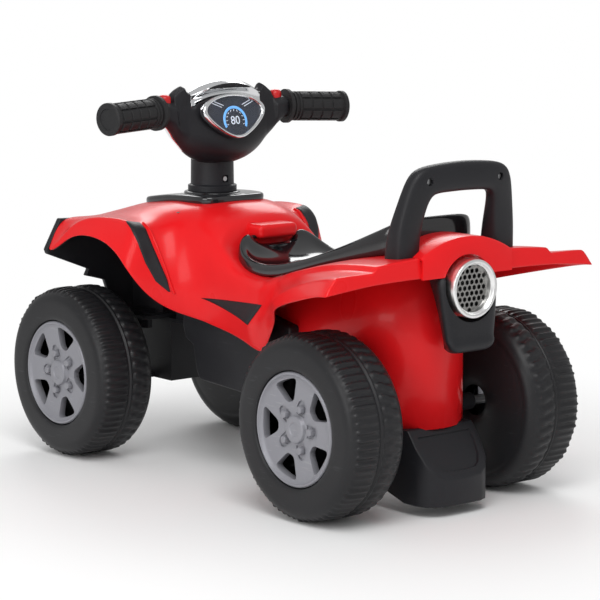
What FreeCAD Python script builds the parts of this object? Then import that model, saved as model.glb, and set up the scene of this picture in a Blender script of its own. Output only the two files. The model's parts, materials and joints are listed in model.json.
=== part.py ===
import FreeCAD, Part
import math
import os
import Sketcher

# Toddler ride-on quad: +X forward, +Y left, +Z up, origin on the ground under the middle, millimetres.
DIMENSIONS = {
    # Wheels
    "wheelbase": 411.0,
    "track_outside": 313.0,
    "wheel_radius": 94.5,
    "tyre_width": 72.5,
    "tyre_round": 13.0,
    "tyre_wall": 2.6,
    "vent_radius": 2.0,
    "tread_depth": 3.0,
    "tread_gap": 4.5,
    "outer_ribs": 32,
    "inner_knobs": 20,
    "seam_width": 3.0,
    "hub_radius": 16.0,
    "rim_radius": 57.0,
    "rim_recess": 14.0,
    "rim_wall": 3.0,
    "spoke_count": 5,
    "lug_circle": 21.0,
    "lug_radius": 4.0,
    "axle_radius": 5.0,
    # Fits
    "running_gap": 0.05,
    "part_gap": 0.4,
    "shell_wall": 3.0,
    # Red moulded body
    "wheel_clearance": 50.0,
    "fender_half": 140.0,
    "wing_half": 186.0,
    "side_half": 77.0,
    "tank_rise": 47.5,
    "tail_length": 72.0,
    "tail_half": 62.0,
    "tail_rise": 17.5,
    "box_half": 60.0,
    "box_bottom": 88.0,
    "foot_clearance": 11.0,
    "foot_half": 44.5,
    "lip_width": 52.0,
    "lip_height": 16.0,
    "lip_length": 36.0,
    # Seat
    "seat_length": 266.0,
    "seat_half": 66.0,
    "seat_rim": 12.0,
    "backrest_top": 298.0,
    "seat_start": 225.5,
    "hinge_radius": 2.0,
    # Push handle
    "handle_half": 76.0,
    "handle_top": 354.0,
    "handle_depth": 26.0,
    "handle_bar": 28.0,
    # Exhaust
    "exhaust_radius": 29.5,
    "exhaust_height": 230.0,
    "ring_depth": 20.0,
    "ring_wall": 3.6,
    "mesh_hole": 2.6,
    "mesh_pitch": 6.4,
    "housing_half": 58.0,
    # Steering
    "column_setback": 83.5,
    "rod_radius": 5.0,
    "bush_radius": 9.5,
    "crank_length": 25.0,
    "kingpin_half": 60.0,
    "kingpin_radius": 4.0,
    "arm_length": 40.0,
    "neck_radius": 23.5,
    "flange_radius": 27.0,
    "bar_height": 384.5,
    "grip_radius": 16.5,
    "grip_length": 76.0,
    "button_radius": 6.5,
    "screw_radius": 2.0,
}

doc = FreeCAD.newDocument("ride_on_quad")
sheet = doc.addObject("Spreadsheet::Sheet", "Sizes")
for row, (alias, number) in enumerate(DIMENSIONS.items(), start=1):
    sheet.set(f"A{row}", alias)
    sheet.set(f"B{row}", str(number))
    sheet.setAlias(f"B{row}", alias)
doc.recompute()

X_AXIS = FreeCAD.Vector(1, 0, 0)
Y_AXIS = FreeCAD.Vector(0, 1, 0)
Z_AXIS = FreeCAD.Vector(0, 0, 1)
NODES = []


class Size:
    """A length together with the sheet formula that gives it."""

    def __init__(self, number, formula):
        self.number = float(number)
        self.formula = formula

    def __float__(self):
        return self.number

    def __add__(self, other):
        return Size(self.number + float(other), f"({self.formula} + {formula_of(other)})")

    def __radd__(self, other):
        return as_size(other) + self

    def __sub__(self, other):
        return Size(self.number - float(other), f"({self.formula} - {formula_of(other)})")

    def __rsub__(self, other):
        return as_size(other) - self

    def __mul__(self, factor):
        return Size(self.number * float(factor), f"({self.formula} * {formula_of(factor)})")

    def __rmul__(self, factor):
        return self * factor

    def __truediv__(self, factor):
        return Size(self.number / float(factor), f"({self.formula} / {formula_of(factor)})")

    def __neg__(self):
        return Size(-self.number, f"(0 - {self.formula})")


def as_size(value):
    return value if isinstance(value, Size) else Size(value, f"{float(value):.6g}")


def formula_of(value):
    return as_size(value).formula


class Sheet:
    """Attribute access to the driving dimensions, as d.wheel_radius."""

    def __getattr__(self, alias):
        return Size(sheet.get(alias), f"Sizes.{alias}")


d = Sheet()


def vec(x, y, z):
    return FreeCAD.Vector(float(x), float(y), float(z))


def node(item, label):
    """Names a finished sub-part and lists it for export."""
    item.Label = label
    NODES.append(item)
    return item


def place(item, x=0, y=0, z=0, axis=Z_AXIS, angle=0):
    """Sets a sub-part down at a point given by sheet sizes, after an optional turn."""
    item.Placement = FreeCAD.Placement(vec(x, y, z), FreeCAD.Rotation(axis, angle))
    for name, value in (("x", x), ("y", y), ("z", z)):
        if isinstance(value, Size):
            item.setExpression(f"Placement.Base.{name}", value.formula)
    return item


# Sketch-based sub-parts

def new_body(label):
    return node(doc.addObject("PartDesign::Body", label), label)


def origin_part(body, role):
    return next(item for item in body.Origin.OriginFeatures if item.Role == role)


def new_sketch(body, role, lift):
    sketch = body.newObject("Sketcher::SketchObject", "Sketch")
    sketch.AttachmentSupport = [(origin_part(body, role), "")]
    sketch.MapMode = "FlatFace"
    if lift is not None:
        sketch.AttachmentOffset = FreeCAD.Placement(vec(0, 0, lift), FreeCAD.Rotation())
        sketch.setExpression("AttachmentOffset.Base.z", formula_of(lift))
    return sketch


def tie(sketch, kind, axis, line, corner, value):
    """Holds one coordinate of a sketch point: on the axis where it is zero, else by a sheet formula."""
    value = as_size(value)
    if abs(value.number) < 1e-9:
        sketch.addConstraint(Sketcher.Constraint("PointOnObject", line, corner, axis))
        return
    index = sketch.addConstraint(Sketcher.Constraint(kind, -1, 1, line, corner, value.number))
    sketch.setExpression(f"Constraints[{index}]", value.formula)


def outline(body, role, points, lift=None):
    """Closed polygon on an origin plane of the body, with every corner tied to the sheet."""
    sketch = new_sketch(body, role, lift)
    corners = [vec(x, y, 0) for x, y in points]
    count = len(corners)
    for i in range(count):
        sketch.addGeometry(Part.LineSegment(corners[i], corners[(i + 1) % count]), False)
    for i in range(count):
        sketch.addConstraint(Sketcher.Constraint("Coincident", i, 2, (i + 1) % count, 1))
    for i, (x, y) in enumerate(points):
        tie(sketch, "DistanceX", -2, i, 1, x)
        tie(sketch, "DistanceY", -1, i, 1, y)
    return sketch


def rounds(body, role, circles, lift=None):
    """One or more circles (x, y, radius) on an origin plane of the body."""
    sketch = new_sketch(body, role, lift)
    for i, (x, y, radius) in enumerate(circles):
        sketch.addGeometry(Part.Circle(vec(x, y, 0), Z_AXIS, float(radius)), False)
        tie(sketch, "DistanceX", -2, i, 3, x)
        tie(sketch, "DistanceY", -1, i, 3, y)
        index = sketch.addConstraint(Sketcher.Constraint("Radius", i, float(radius)))
        sketch.setExpression(f"Constraints[{index}]", formula_of(radius))
    return sketch


def pad(body, sketch, length, both=False, back=False):
    feature = body.newObject("PartDesign::Pad", "Pad")
    feature.Profile = sketch
    feature.Length = float(length)
    feature.setExpression("Length", formula_of(length))
    feature.Midplane = both
    feature.Reversed = back
    return feature


def pocket(body, sketch, length, both=False, back=False):
    feature = body.newObject("PartDesign::Pocket", "Pocket")
    feature.Profile = sketch
    feature.Length = float(length)
    feature.setExpression("Length", formula_of(length))
    feature.Midplane = both
    feature.Reversed = back
    return feature


def turn(body, sketch, axis="V_Axis"):
    feature = body.newObject("PartDesign::Revolution", "Revolution")
    feature.Profile = sketch
    feature.ReferenceAxis = (sketch, [axis])
    feature.Angle = 360
    return feature


def hollow_out(body, sketch, axis="V_Axis"):
    feature = body.newObject("PartDesign::Groove", "Groove")
    feature.Profile = sketch
    feature.ReferenceAxis = (sketch, [axis])
    feature.Angle = 360
    return feature


def polar(body, features, role, count):
    pattern = body.newObject("PartDesign::PolarPattern", "PolarPattern")
    pattern.Originals = features
    pattern.Axis = (origin_part(body, role), [""])
    pattern.Angle = 360
    pattern.Occurrences = round(float(count))
    body.Tip = pattern
    return pattern


# Free-form sub-parts, whose sizes are read from the sheet

def shape_node(label, shape):
    item = doc.addObject("Part::Feature", label)
    item.Shape = shape
    item.Placement = FreeCAD.Placement()
    return node(item, label)


def block(x0, x1, y0, y1, z0, z1):
    return Part.makeBox(float(x1) - float(x0), float(y1) - float(y0), float(z1) - float(z0), vec(x0, y0, z0))


def rod(start, end, radius):
    direction = end - start
    return Part.makeCylinder(float(radius), direction.Length, start, direction)


def prism(points, depth):
    """Solid swept from a closed polygon of points along a vector."""
    return Part.Face(Part.makePolygon(points + [points[0]])).extrude(depth)


def loft(wires, ruled=False):
    return Part.makeLoft(wires, True, ruled)


def closed(points):
    return Part.makePolygon(points + [points[0]])


def softened(points, radii):
    """Closed wire through points, with an arc of the given radius at each corner (0 keeps it sharp)."""
    count = len(points)
    starts, ends, edges = [], [], []
    for i, corner in enumerate(points):
        to_last = (points[i - 1] - corner).normalize()
        to_next = (points[(i + 1) % count] - corner).normalize()
        reach = radii[i] / math.tan(to_last.getAngle(to_next) / 2) if radii[i] else 0
        starts.append(corner + to_last * reach)
        ends.append(corner + to_next * reach)
    for i, corner in enumerate(points):
        if radii[i]:
            to_last = (points[i - 1] - corner).normalize()
            to_next = (points[(i + 1) % count] - corner).normalize()
            half = to_last.getAngle(to_next) / 2
            bisector = (to_last + to_next).normalize()
            middle = corner + bisector * (radii[i] / math.sin(half) - radii[i])
            edges.append(Part.Arc(starts[i], middle, ends[i]).toShape())
        following = starts[(i + 1) % count]
        if (following - ends[i]).Length > 1e-6:
            edges.append(Part.LineSegment(ends[i], following).toShape())
    return Part.Wire(edges)


def mirrored(shape):
    return shape.mirror(vec(0, 0, 0), Y_AXIS)


# Heights and places that several sub-parts share
axle_x = d.wheelbase / 2
outer_face = d.track_outside / 2
axle_height = d.wheel_radius
skin_level = 2 * d.wheel_radius + d.wheel_clearance
column_x = axle_x - d.column_setback
tank_top = skin_level + d.tank_rise
seat_nose = d.seat_start - axle_x
tail_x = -axle_x - d.tail_length
shelf_top = axle_height + 55.5
link_low = shelf_top + d.part_gap
link_thick = as_size(4)
crank_height = link_low + link_thick + 10.5
wheel_shift = outer_face - d.tyre_width


# Wheels

SHOULDER_STEPS = 4


def make_tyre(label, x, side):
    """Blow-moulded tyre with its web and hub: ribs outside the seam, knobs inside it."""
    body = new_body(label)
    radius = d.wheel_radius
    width = d.tyre_width
    bore = d.axle_radius + d.running_gap
    web = d.rim_recess + 4
    seat = d.rim_radius + 0.3
    dish = radius - d.tyre_round - 10
    profile = [(bore, -width), (d.hub_radius + 5, -width), (d.hub_radius + 5, -web), (dish - 6, -web),
               (dish, -width)]
    for y, way in ((-width, 1), (0, -1)):
        steps = range(SHOULDER_STEPS + 1) if way > 0 else range(SHOULDER_STEPS, -1, -1)
        for step in steps:
            angle = math.radians(90 * step / SHOULDER_STEPS)
            profile.append((radius - d.tyre_round * (1 - math.sin(angle)),
                            y + way * d.tyre_round * (1 - math.cos(angle))))
    profile += [(seat, 0), (seat, -d.rim_recess), (d.hub_radius, -d.rim_recess), (d.hub_radius, -10.5),
                (bore, -10.5)]
    turn(body, outline(body, "XY_Plane", profile))
    wall = d.tyre_wall
    inner = radius - d.tread_depth - wall
    hollow = outline(body, "XY_Plane", [
        (dish + wall, wall - width), (inner - 5, wall - width), (inner, wall - width + 5), (inner, -wall - 6),
        (inner - 5, -wall), (seat + wall, -wall), (seat + wall, wall - web), (dish - 6 + wall, wall - web)])
    hollow_out(body, hollow)
    vent = rounds(body, "XZ_Plane", [(0, dish + 6.2, d.vent_radius)], width)
    pocket(body, vent, wall + 2)
    tread = (width - 2 * d.tyre_round - d.seam_width) / 2
    middle = width / 2
    for count, shift, gap in ((d.outer_ribs, -1, d.tread_gap), (d.inner_knobs, 1, d.tread_gap * 1.6)):
        lift = middle + shift * (tread + d.seam_width) / 2
        groove = outline(body, "XZ_Plane", [
            (-gap / 2, radius - d.tread_depth), (gap / 2, radius - d.tread_depth),
            (gap * 0.7, radius + 2), (gap * -0.7, radius + 2)], lift)
        cut = pocket(body, groove, tread, both=True)
        polar(body, [cut], "Y_Axis", count)
    return place(body, x, side * outer_face, axle_height, Z_AXIS, 0 if side > 0 else 180)


def make_rim(label, x, side):
    """Five-spoke wheel cover that drops into the outer recess of the tyre."""
    body = new_body(label)
    edge = d.rim_radius
    wall = d.rim_wall
    profile = outline(body, "XY_Plane", [
        (0, -1.5), (12, -1.5), (14.5, -4.5), (d.lug_circle + 5.5, -5), (edge - 6.5, -3.5), (edge - 4.5, -0.6),
        (edge - 3, 0), (edge, 0), (edge, -d.rim_recess), (edge - wall, -d.rim_recess), (edge - wall,
            -wall - 2),
        (edge - 6.5, -wall - 4), (d.lug_circle + 5.5, -wall - 5.5), (15, -wall - 5), (11, -4.5), (0, -4.5)])
    turn(body, profile)
    inner = d.lug_circle + 7
    outer = edge - 8.5
    window = outline(body, "XZ_Plane", [
        (-5, inner), (5, inner), (8, inner + 3), (14, outer - 5), (11, outer),
        (-11, outer), (-14, outer - 5), (-8, inner + 3)])
    cut = pocket(body, window, 40, both=True)
    polar(body, [cut], "Y_Axis", d.spoke_count)
    turn_angle = math.pi / float(d.spoke_count)
    nut = rounds(body, "XZ_Plane", [
        (d.lug_circle * -math.sin(turn_angle), d.lug_circle * math.cos(turn_angle), d.lug_radius)], 7)
    stud = pad(body, nut, 4.5, back=True)
    polar(body, [stud], "Y_Axis", d.spoke_count)
    return place(body, x, side * outer_face, axle_height, Z_AXIS, 0 if side > 0 else 180)


for corner, x, side in (("front_left", axle_x, 1), ("front_right", axle_x, -1),
                        ("rear_left", -axle_x, 1), ("rear_right", -axle_x, -1)):
    make_tyre(f"tyre_{corner}", x, side)
    make_rim(f"rim_{corner}", x, side)


# Axles, pins and fasteners

def cylinder(radius, length, x, y, z, axis=Z_AXIS, angle=0):
    item = doc.addObject("Part::Cylinder", "Rod")
    item.setExpression("Radius", formula_of(radius))
    item.setExpression("Height", formula_of(length))
    return place(item, x, y, z, axis, angle)


def group(label, items):
    compound = doc.addObject("Part::Compound", label)
    compound.Links = items
    return node(compound, label)


def washer(radius, bore, thick, x, y, z, axis=Z_AXIS, angle=0):
    """Flat ring whose axis runs the given way."""
    outer = cylinder(radius, thick, x, y, z, axis, angle)
    inner = cylinder(bore, thick, x, y, z, axis, angle)
    ring = doc.addObject("Part::Cut", "Ring")
    ring.Base = outer
    ring.Tool = inner
    return ring


axle_end = outer_face - 6
nut_inner = outer_face - 10.1
node(cylinder(d.axle_radius, 2 * axle_end, -axle_x, -axle_end, axle_height, X_AXIS, -90), "rear_axle")
group("rear_push_nuts", [
    washer(d.axle_radius + 4, d.axle_radius, 2, -axle_x, nut_inner, axle_height, X_AXIS, -90),
    washer(d.axle_radius + 4, d.axle_radius, 2, -axle_x, -nut_inner, axle_height, X_AXIS, 90)])
spacer_start = d.box_half - d.shell_wall - 0.5
spacer_length = wheel_shift - d.part_gap - spacer_start
group("rear_spacers", [
    washer(d.axle_radius + 4, d.axle_radius + d.running_gap, spacer_length,
           -axle_x, spacer_start, axle_height, X_AXIS, -90),
    washer(d.axle_radius + 4, d.axle_radius + d.running_gap, spacer_length,
           -axle_x, -spacer_start, axle_height, X_AXIS, 90)])


# Front steering

knuckle_low = axle_height - 12
knuckle_high = link_low - 0.6
ear_thick = as_size(5)


def make_knuckle(label, side):
    """Steering knuckle: tall barrel on its kingpin, boss for the stub axle, arm with a link pin."""
    body = new_body(label)
    barrel = as_size(11)
    height = knuckle_high - knuckle_low
    pad(body, rounds(body, "XY_Plane", [(0, 0, barrel)], -12), height)
    reach = wheel_shift - d.kingpin_half - d.part_gap
    pad(body, rounds(body, "XZ_Plane", [(0, 0, barrel)]), reach, back=side > 0)
    arm_low = height - 12 - 9
    pad(body, outline(body, "XY_Plane", [
        (0, -8), (-d.arm_length, -6), (-d.arm_length - 6, -3), (-d.arm_length - 6, 3), (-d.arm_length,
            6), (0, 8)],
        arm_low), 9)
    pad(body, rounds(body, "XY_Plane", [(-d.arm_length, 0, 3)], arm_low + 9), link_thick + 1)
    pocket(body, rounds(body, "XY_Plane", [(0, 0, d.kingpin_radius + d.running_gap)]), 400, both=True)
    stub = rounds(body, "XZ_Plane", [(0, 0, d.axle_radius)], -side * (d.kingpin_radius + 2))
    pocket(body, stub, reach, back=side < 0)
    return place(body, axle_x, side * d.kingpin_half, axle_height)


stub_start = d.kingpin_half + d.kingpin_radius + 2
for name, side in (("left", 1), ("right", -1)):
    make_knuckle(f"knuckle_{name}", side)
    node(cylinder(d.axle_radius, axle_end - stub_start, axle_x, side * stub_start, axle_height,
                  X_AXIS, -90 * side), f"stub_axle_{name}")
    node(washer(d.axle_radius + 4, d.axle_radius, 2, axle_x, side * nut_inner, axle_height,
                X_AXIS, -90 * side), f"push_nut_{name}")

pin_low = knuckle_low - d.part_gap - ear_thick
pin_length = knuckle_high + d.part_gap + ear_thick - pin_low
group("kingpins", [
    cylinder(d.kingpin_radius, pin_length, axle_x, side * d.kingpin_half, pin_low) for side in (1, -1)])

link = new_body("steering_link")
pin_x = axle_x - d.arm_length
crank_x = column_x - d.crank_length
pad(link, outline(link, "XY_Plane", [
    (pin_x + 9, -d.kingpin_half - 9), (pin_x + 9, d.kingpin_half + 9), (pin_x - 8, d.kingpin_half + 9),
    (pin_x - 8, 16), (crank_x - 14, 13), (crank_x - 14, -13), (pin_x - 8, -16), (pin_x - 8,
        -d.kingpin_half - 9)]),
    link_thick)
slot = d.rod_radius + 0.55
crank_shift = d.crank_length * (1 - math.cos(math.radians(30)))
pocket(link, outline(link, "XY_Plane", [
    (crank_x - d.rod_radius - 1, -slot), (crank_x + crank_shift + d.rod_radius + 1, -slot),
    (crank_x + crank_shift + d.rod_radius + 1, slot), (crank_x - d.rod_radius - 1, slot)]), 20, both=True)
for side in (1, -1):
    y = side * d.kingpin_half
    pocket(link, outline(link, "XY_Plane", [
        (pin_x - 3.6, y - 3.55), (pin_x + 6, y - 3.55), (pin_x + 6, y + 3.55), (pin_x - 3.6,
            y + 3.55)]), 20, both=True)
place(link, 0, 0, link_low)


def make_steering_rod():
    """Round steel rod: straight down from the neck, bent back and down again as a crank."""
    bend = 8.0
    x0 = float(column_x)
    x1 = float(crank_x)
    high = float(crank_height)
    top = float(tank_top) + 40
    foot = float(link_low) - 0.1
    slant = bend * (1 - math.sqrt(0.5))
    points = [
        Part.LineSegment(vec(x0, 0, top), vec(x0, 0, high + bend)),
        Part.Arc(vec(x0, 0, high + bend), vec(x0 - slant, 0, high + slant), vec(x0 - bend, 0, high)),
        Part.LineSegment(vec(x0 - bend, 0, high), vec(x1 + bend, 0, high)),
        Part.Arc(vec(x1 + bend, 0, high), vec(x1 + slant, 0, high - slant), vec(x1, 0, high - bend)),
        Part.LineSegment(vec(x1, 0, high - bend), vec(x1, 0, foot))]
    path = Part.Wire([line.toShape() for line in points])
    ring = Part.Wire(Part.makeCircle(float(d.rod_radius), vec(x0, 0, top), vec(0, 0, -1)))
    return path.makePipeShell([ring], True, False)


shape_node("steering_rod", make_steering_rod())


# Red moulded body

def station(x, half_profile):
    """Cross-section at x: points (y, z) from the lower edge of one side to the centre line."""
    return float(x), [(float(y), float(z)) for y, z in half_profile]


def front(offset):
    return axle_x + offset


def rear(offset):
    return offset - axle_x


def level(rise):
    return skin_level + rise


def full_outline(half_profile):
    """Left lower edge, over the top, to the right lower edge."""
    return half_profile + [(-y, z) for y, z in reversed(half_profile[:-1])]


def skin(stations, wall):
    """Open-bottomed shell: ruled through the sections, with a wall of even thickness."""
    wires = []
    for x, half_profile in stations:
        inner_half = [(y - shift_y, z - shift_z) for (y, z), (shift_y, shift_z)
                      in zip(half_profile, wall_shifts(half_profile, wall))]
        ring = full_outline(half_profile) + list(reversed(full_outline(inner_half)))
        wires.append(closed([vec(x, y, z) for y, z in ring]))
    return loft(wires, True)


def wall_shifts(half_profile, wall):
    """Shift of each point towards the inside: across the outline, and straight down on the centre line."""
    shifts = []
    for i, (y, z) in enumerate(half_profile):
        before = half_profile[max(i - 1, 0)]
        after = half_profile[min(i + 1, len(half_profile) - 1)]
        along_y = after[0] - before[0]
        along_z = after[1] - before[1]
        length = math.hypot(along_y, along_z)
        normal = (along_z / length, -along_y / length)
        if i == len(half_profile) - 1:
            normal = (0.0, 1.0)
        shifts.append((normal[0] * wall, normal[1] * wall))
    return shifts


def under_skin(stations, floor=None):
    """Solid between the outside of a skin and a level floor below all of its edges."""
    floor = level(-95) if floor is None else floor
    wires = []
    for x, half_profile in stations:
        lowest = [(half_profile[0][0], float(floor))]
        wires.append(closed([vec(x, y, z) for y, z in full_outline(lowest + half_profile)]))
    return loft(wires, True)


side = d.side_half
fender = d.fender_half
top = d.tank_rise
FRONT_STATIONS = [
    station(front(30.5), [(fender - 1, level(-13)), (fender - 11, level(1)), (fender - 35, level(22)),
                          (72, level(26)), (46, level(top - 20)), (0, level(top - 19))]),
    station(front(-5.5), [(fender, level(6)), (fender - 10, level(13)), (fender - 42, level(25)),
                          (72, level(30)), (48, level(top - 10.5)), (0, level(top - 9))]),
    station(front(-42.5), [(fender, level(12)), (fender - 17, level(28)), (fender - 44, level(30)),
                           (70, level(36)), (48, level(top - 5)), (0, level(top - 4))]),
    station(front(-75.5), [(fender, level(9)), (fender - 24, level(34)), (fender - 45, level(34)),
                           (70, level(40)), (48, level(top - 1)), (0, level(top))]),
    station(front(-97.5), [(fender, level(-4)), (fender - 20, level(33)), (fender - 44, level(34)),
                           (70, level(41)), (48, level(top - 1)), (0, level(top))]),
    station(front(-113.5), [(fender - 2, level(-20)), (fender - 16, level(27)), (fender - 42, level(33)),
                            (70, level(41)), (47, level(top - 1)), (0, level(top))]),
    station(front(-125.5), [(side + 26, level(-54)), (fender - 18, level(16)), (fender - 42, level(29)),
                            (70, level(40)), (46, level(top - 1.5)), (0, level(top - 0.5))]),
    station(front(-137.5), [(side + 8, level(-69)), (fender - 27, level(-7)), (fender - 46, level(17)),
                            (70, level(37)), (45, level(top - 3)), (0, level(top - 2))]),
    station(front(-149.5), [(side + 2, level(-74)), (side + 13, level(-34)), (side + 8, level(-1)),
                            (69, level(32)), (44, level(top - 6)), (0, level(top - 5))]),
    station(front(-165.5), [(side, level(-78)), (side + 2, level(-39)), (side, level(-3)),
                            (66, level(23)), (42, level(top - 12)), (0, level(top - 10))]),
    station(seat_nose - 4, [(side, level(-82)), (side + 2, level(-44)), (side - 1, level(-13)),
                            (64, level(7)), (40, level(20)), (0, level(24))]),
    station(seat_nose - 35, [(side + 3, level(-86)), (side + 5, level(-49)), (side + 1, level(-22)),
                             (68, level(-15)), (40, level(-15)), (0, level(-15))]),
    station(rear(150.5), [(side + 11, level(-93)), (side + 13, level(-67)), (side + 6, level(-32)),
                          (72, level(-18)), (40, level(-17)), (0, level(-17))]),
]
wing = d.wing_half
REAR_STATIONS = [
    station(rear(150.5), [(side + 13, level(-68)), (side + 12, level(-60)), (side + 6, level(-32)),
                          (72, level(-18)), (40, level(-17)), (0, level(-17))]),
    station(rear(115.5), [(side + 28, level(-52)), (side + 24, level(-42)), (side + 7, level(-17)),
                          (72, level(-11)), (40, level(-10)), (0, level(-10))]),
    station(rear(75.5), [(wing - 62, level(-36)), (wing - 70, level(-25)), (90, level(-6)),
                         (72, level(1)), (40, level(1)), (0, level(1))]),
    station(rear(30.5), [(wing - 43, level(-24)), (wing - 53, level(-8)), (94, level(7)),
                         (71, level(12)), (40, level(12)), (0, level(12))]),
    station(rear(-19.5), [(wing - 22, level(-11)), (wing - 34, level(6)), (99, level(17)),
                          (69, level(22)), (40, level(22)), (0, level(22))]),
    station(tail_x, [(wing, level(0)), (wing - 15, level(21)), (105, level(24)),
                     (64, level(25)), (40, level(26)), (0, level(26))]),
]


def capsule(half, start, end, low, high):
    """Upright prism, flat at its front (start) and half round at its back (end)."""
    middle = float(end) + float(half)
    body = block(middle, start, -half, half, low, high)
    return body.fuse(Part.makeCylinder(float(half), float(high) - float(low), vec(middle, 0, low)))


def seat_plan(grow, low, high):
    """Upright prism over the seat's outline in plan, grown by a clearance."""
    nose = float(seat_nose) + grow
    back = float(seat_nose - d.seat_length) - grow
    half = float(d.seat_half) + grow
    points = [vec(nose, half - 33, low), vec(nose - 9, half - 12, low), vec(nose - 36, half - 2, low),
              vec(nose - 70, half, low), vec(back + 46, half - 2, low), vec(back, half - 12, low)]
    points += [vec(p.x, -p.y, low) for p in reversed(points)]
    radii = [12, 20, 40, 40, 40, 8]
    wire = softened(points, radii + radii[::-1])
    return Part.Face(wire).extrude(vec(0, 0, float(high) - float(low)))


HUMP_RADIUS = (float(d.tail_half) ** 2 + float(d.tail_rise) ** 2) / (2 * float(d.tail_rise))


def tail_segment(grow, start, end, low):
    """Part of a lying cylinder: the crowned hump of the tail, from a level floor to its arc."""
    rise = level(25)
    axis_z = float(rise) + float(d.tail_rise) - HUMP_RADIUS
    radius = HUMP_RADIUS + grow
    barrel = rod(vec(start, 0, axis_z), vec(end, 0, axis_z), radius)
    half = float(d.tail_half) + grow
    return barrel.common(block(end, start, -half, half, low, axis_z + radius + 1))


def make_body_shell():
    """Red moulding: tank and front fenders, side panels, rear deck with wings, box and tail panel."""
    wall = float(d.shell_wall)
    front_skin = skin(FRONT_STATIONS, wall)
    rear_skin = skin(REAR_STATIONS, wall)
    box_start = rear(150.5)
    tub_top = level(40)
    tub = capsule(d.box_half, box_start, box_end, d.box_bottom, tub_top)
    tub = tub.cut(capsule(d.box_half - wall, box_start + 1, box_end + wall, d.box_bottom - 1, tub_top + 1))
    tub = tub.common(under_skin(REAR_STATIONS, d.box_bottom - 1))
    well_low = level(-93)
    bulkhead = block(box_start - wall, box_start, d.box_half - 2, side + 12, well_low, level(-20))
    inside = under_skin(FRONT_STATIONS).fuse(under_skin(REAR_STATIONS))
    bulkhead = bulkhead.common(inside)
    nose_wall = seat_plan(SEAT_CLEARANCE + wall, level(-18), level(60)).common(
        block(seat_nose - 48, seat_nose + 40, -d.seat_half - 20, d.seat_half + 20, level(-18), level(60)))
    nose_wall = nose_wall.common(under_skin(FRONT_STATIONS))
    shell = front_skin.fuse([rear_skin, tub, bulkhead, mirrored(bulkhead), nose_wall])
    deck_opening = seat_plan(-16, level(-60), level(80))
    gap_low = level(-14.8)
    nose_gap = seat_plan(SEAT_CLEARANCE, gap_low, level(80)).common(
        block(seat_nose - 40, seat_nose + 40, -d.seat_half - 20, d.seat_half + 20, gap_low, level(80)))
    notch = float(d.axle_radius) + 4.5
    axle_notch = rod(vec(-axle_x, -100, axle_height), vec(-axle_x, 100, axle_height), notch)
    axle_notch = axle_notch.fuse(block(-axle_x - notch, -axle_x + notch, -100, 100, d.box_bottom - 20,
                                       axle_height))
    rod_hole = rod(vec(column_x, 0, level(0)), vec(column_x, 0, level(90)), d.bush_radius + 1)
    shell = shell.cut(deck_opening.fuse([nose_gap, axle_notch, rod_hole]))
    hump = tail_segment(0, hump_front, tail_x, level(25)).cut(
        tail_segment(-wall, hump_front - 0.01, tail_x, level(25) - 10))
    panel = tail_segment(0, tail_x, tail_x - wall, level(1))
    panel = panel.cut(rod(vec(tail_x + 5, 0, d.exhaust_height), vec(tail_x - 9, 0, d.exhaust_height),
                          d.exhaust_radius + 4))
    wall_points = [(58, level(1)), (wing - 3.5, level(1)), (wing - 16, level(19.5)), (105, level(22.5)),
                   (58, level(23.5))]
    wing_wall = prism([vec(tail_x + 0.5, y, z) for y, z in wall_points], vec(wall - 0.5, 0, 0))
    lip_x = float(seat_nose) - 16
    lip_low = float(level(12))
    lip_high = lip_low + float(d.lip_height)
    half = float(d.lip_width) / 2
    lip = block(lip_x, lip_x + float(d.lip_length), -half, half, lip_low, lip_high)
    soft = [edge for edge in lip.Edges if edge.BoundBox.XMax < lip_x + 1 or edge.BoundBox.ZMin > lip_low + 5]
    lip = lip.makeFillet(5, soft)
    lip = lip.cut(block(lip_x + wall, lip_x + 60, wall - half, half - wall, lip_low - 1, lip_high - wall))
    return shell.fuse([hump, panel, wing_wall, mirrored(wing_wall), lip])


SEAT_CLEARANCE = 2.6
box_end = tail_x + 22
hump_front = tail_x + 26
shape_node("body_shell", make_body_shell())


# Black lower chassis

def raised(shape, rise):
    return shape.translated(vec(0, 0, rise))


def shifted_stations(stations, gap):
    """Sections moved to the inside of a skin by a gap."""
    moved = []
    for x, half_profile in stations:
        shifts = wall_shifts(half_profile, gap)
        moved.append((x, [(y - sy, z - sz) for (y, z), (sy, sz) in zip(half_profile, shifts)]))
    return moved


LINER_STATIONS = shifted_stations(FRONT_STATIONS[:6], float(d.shell_wall + d.part_gap))


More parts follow.
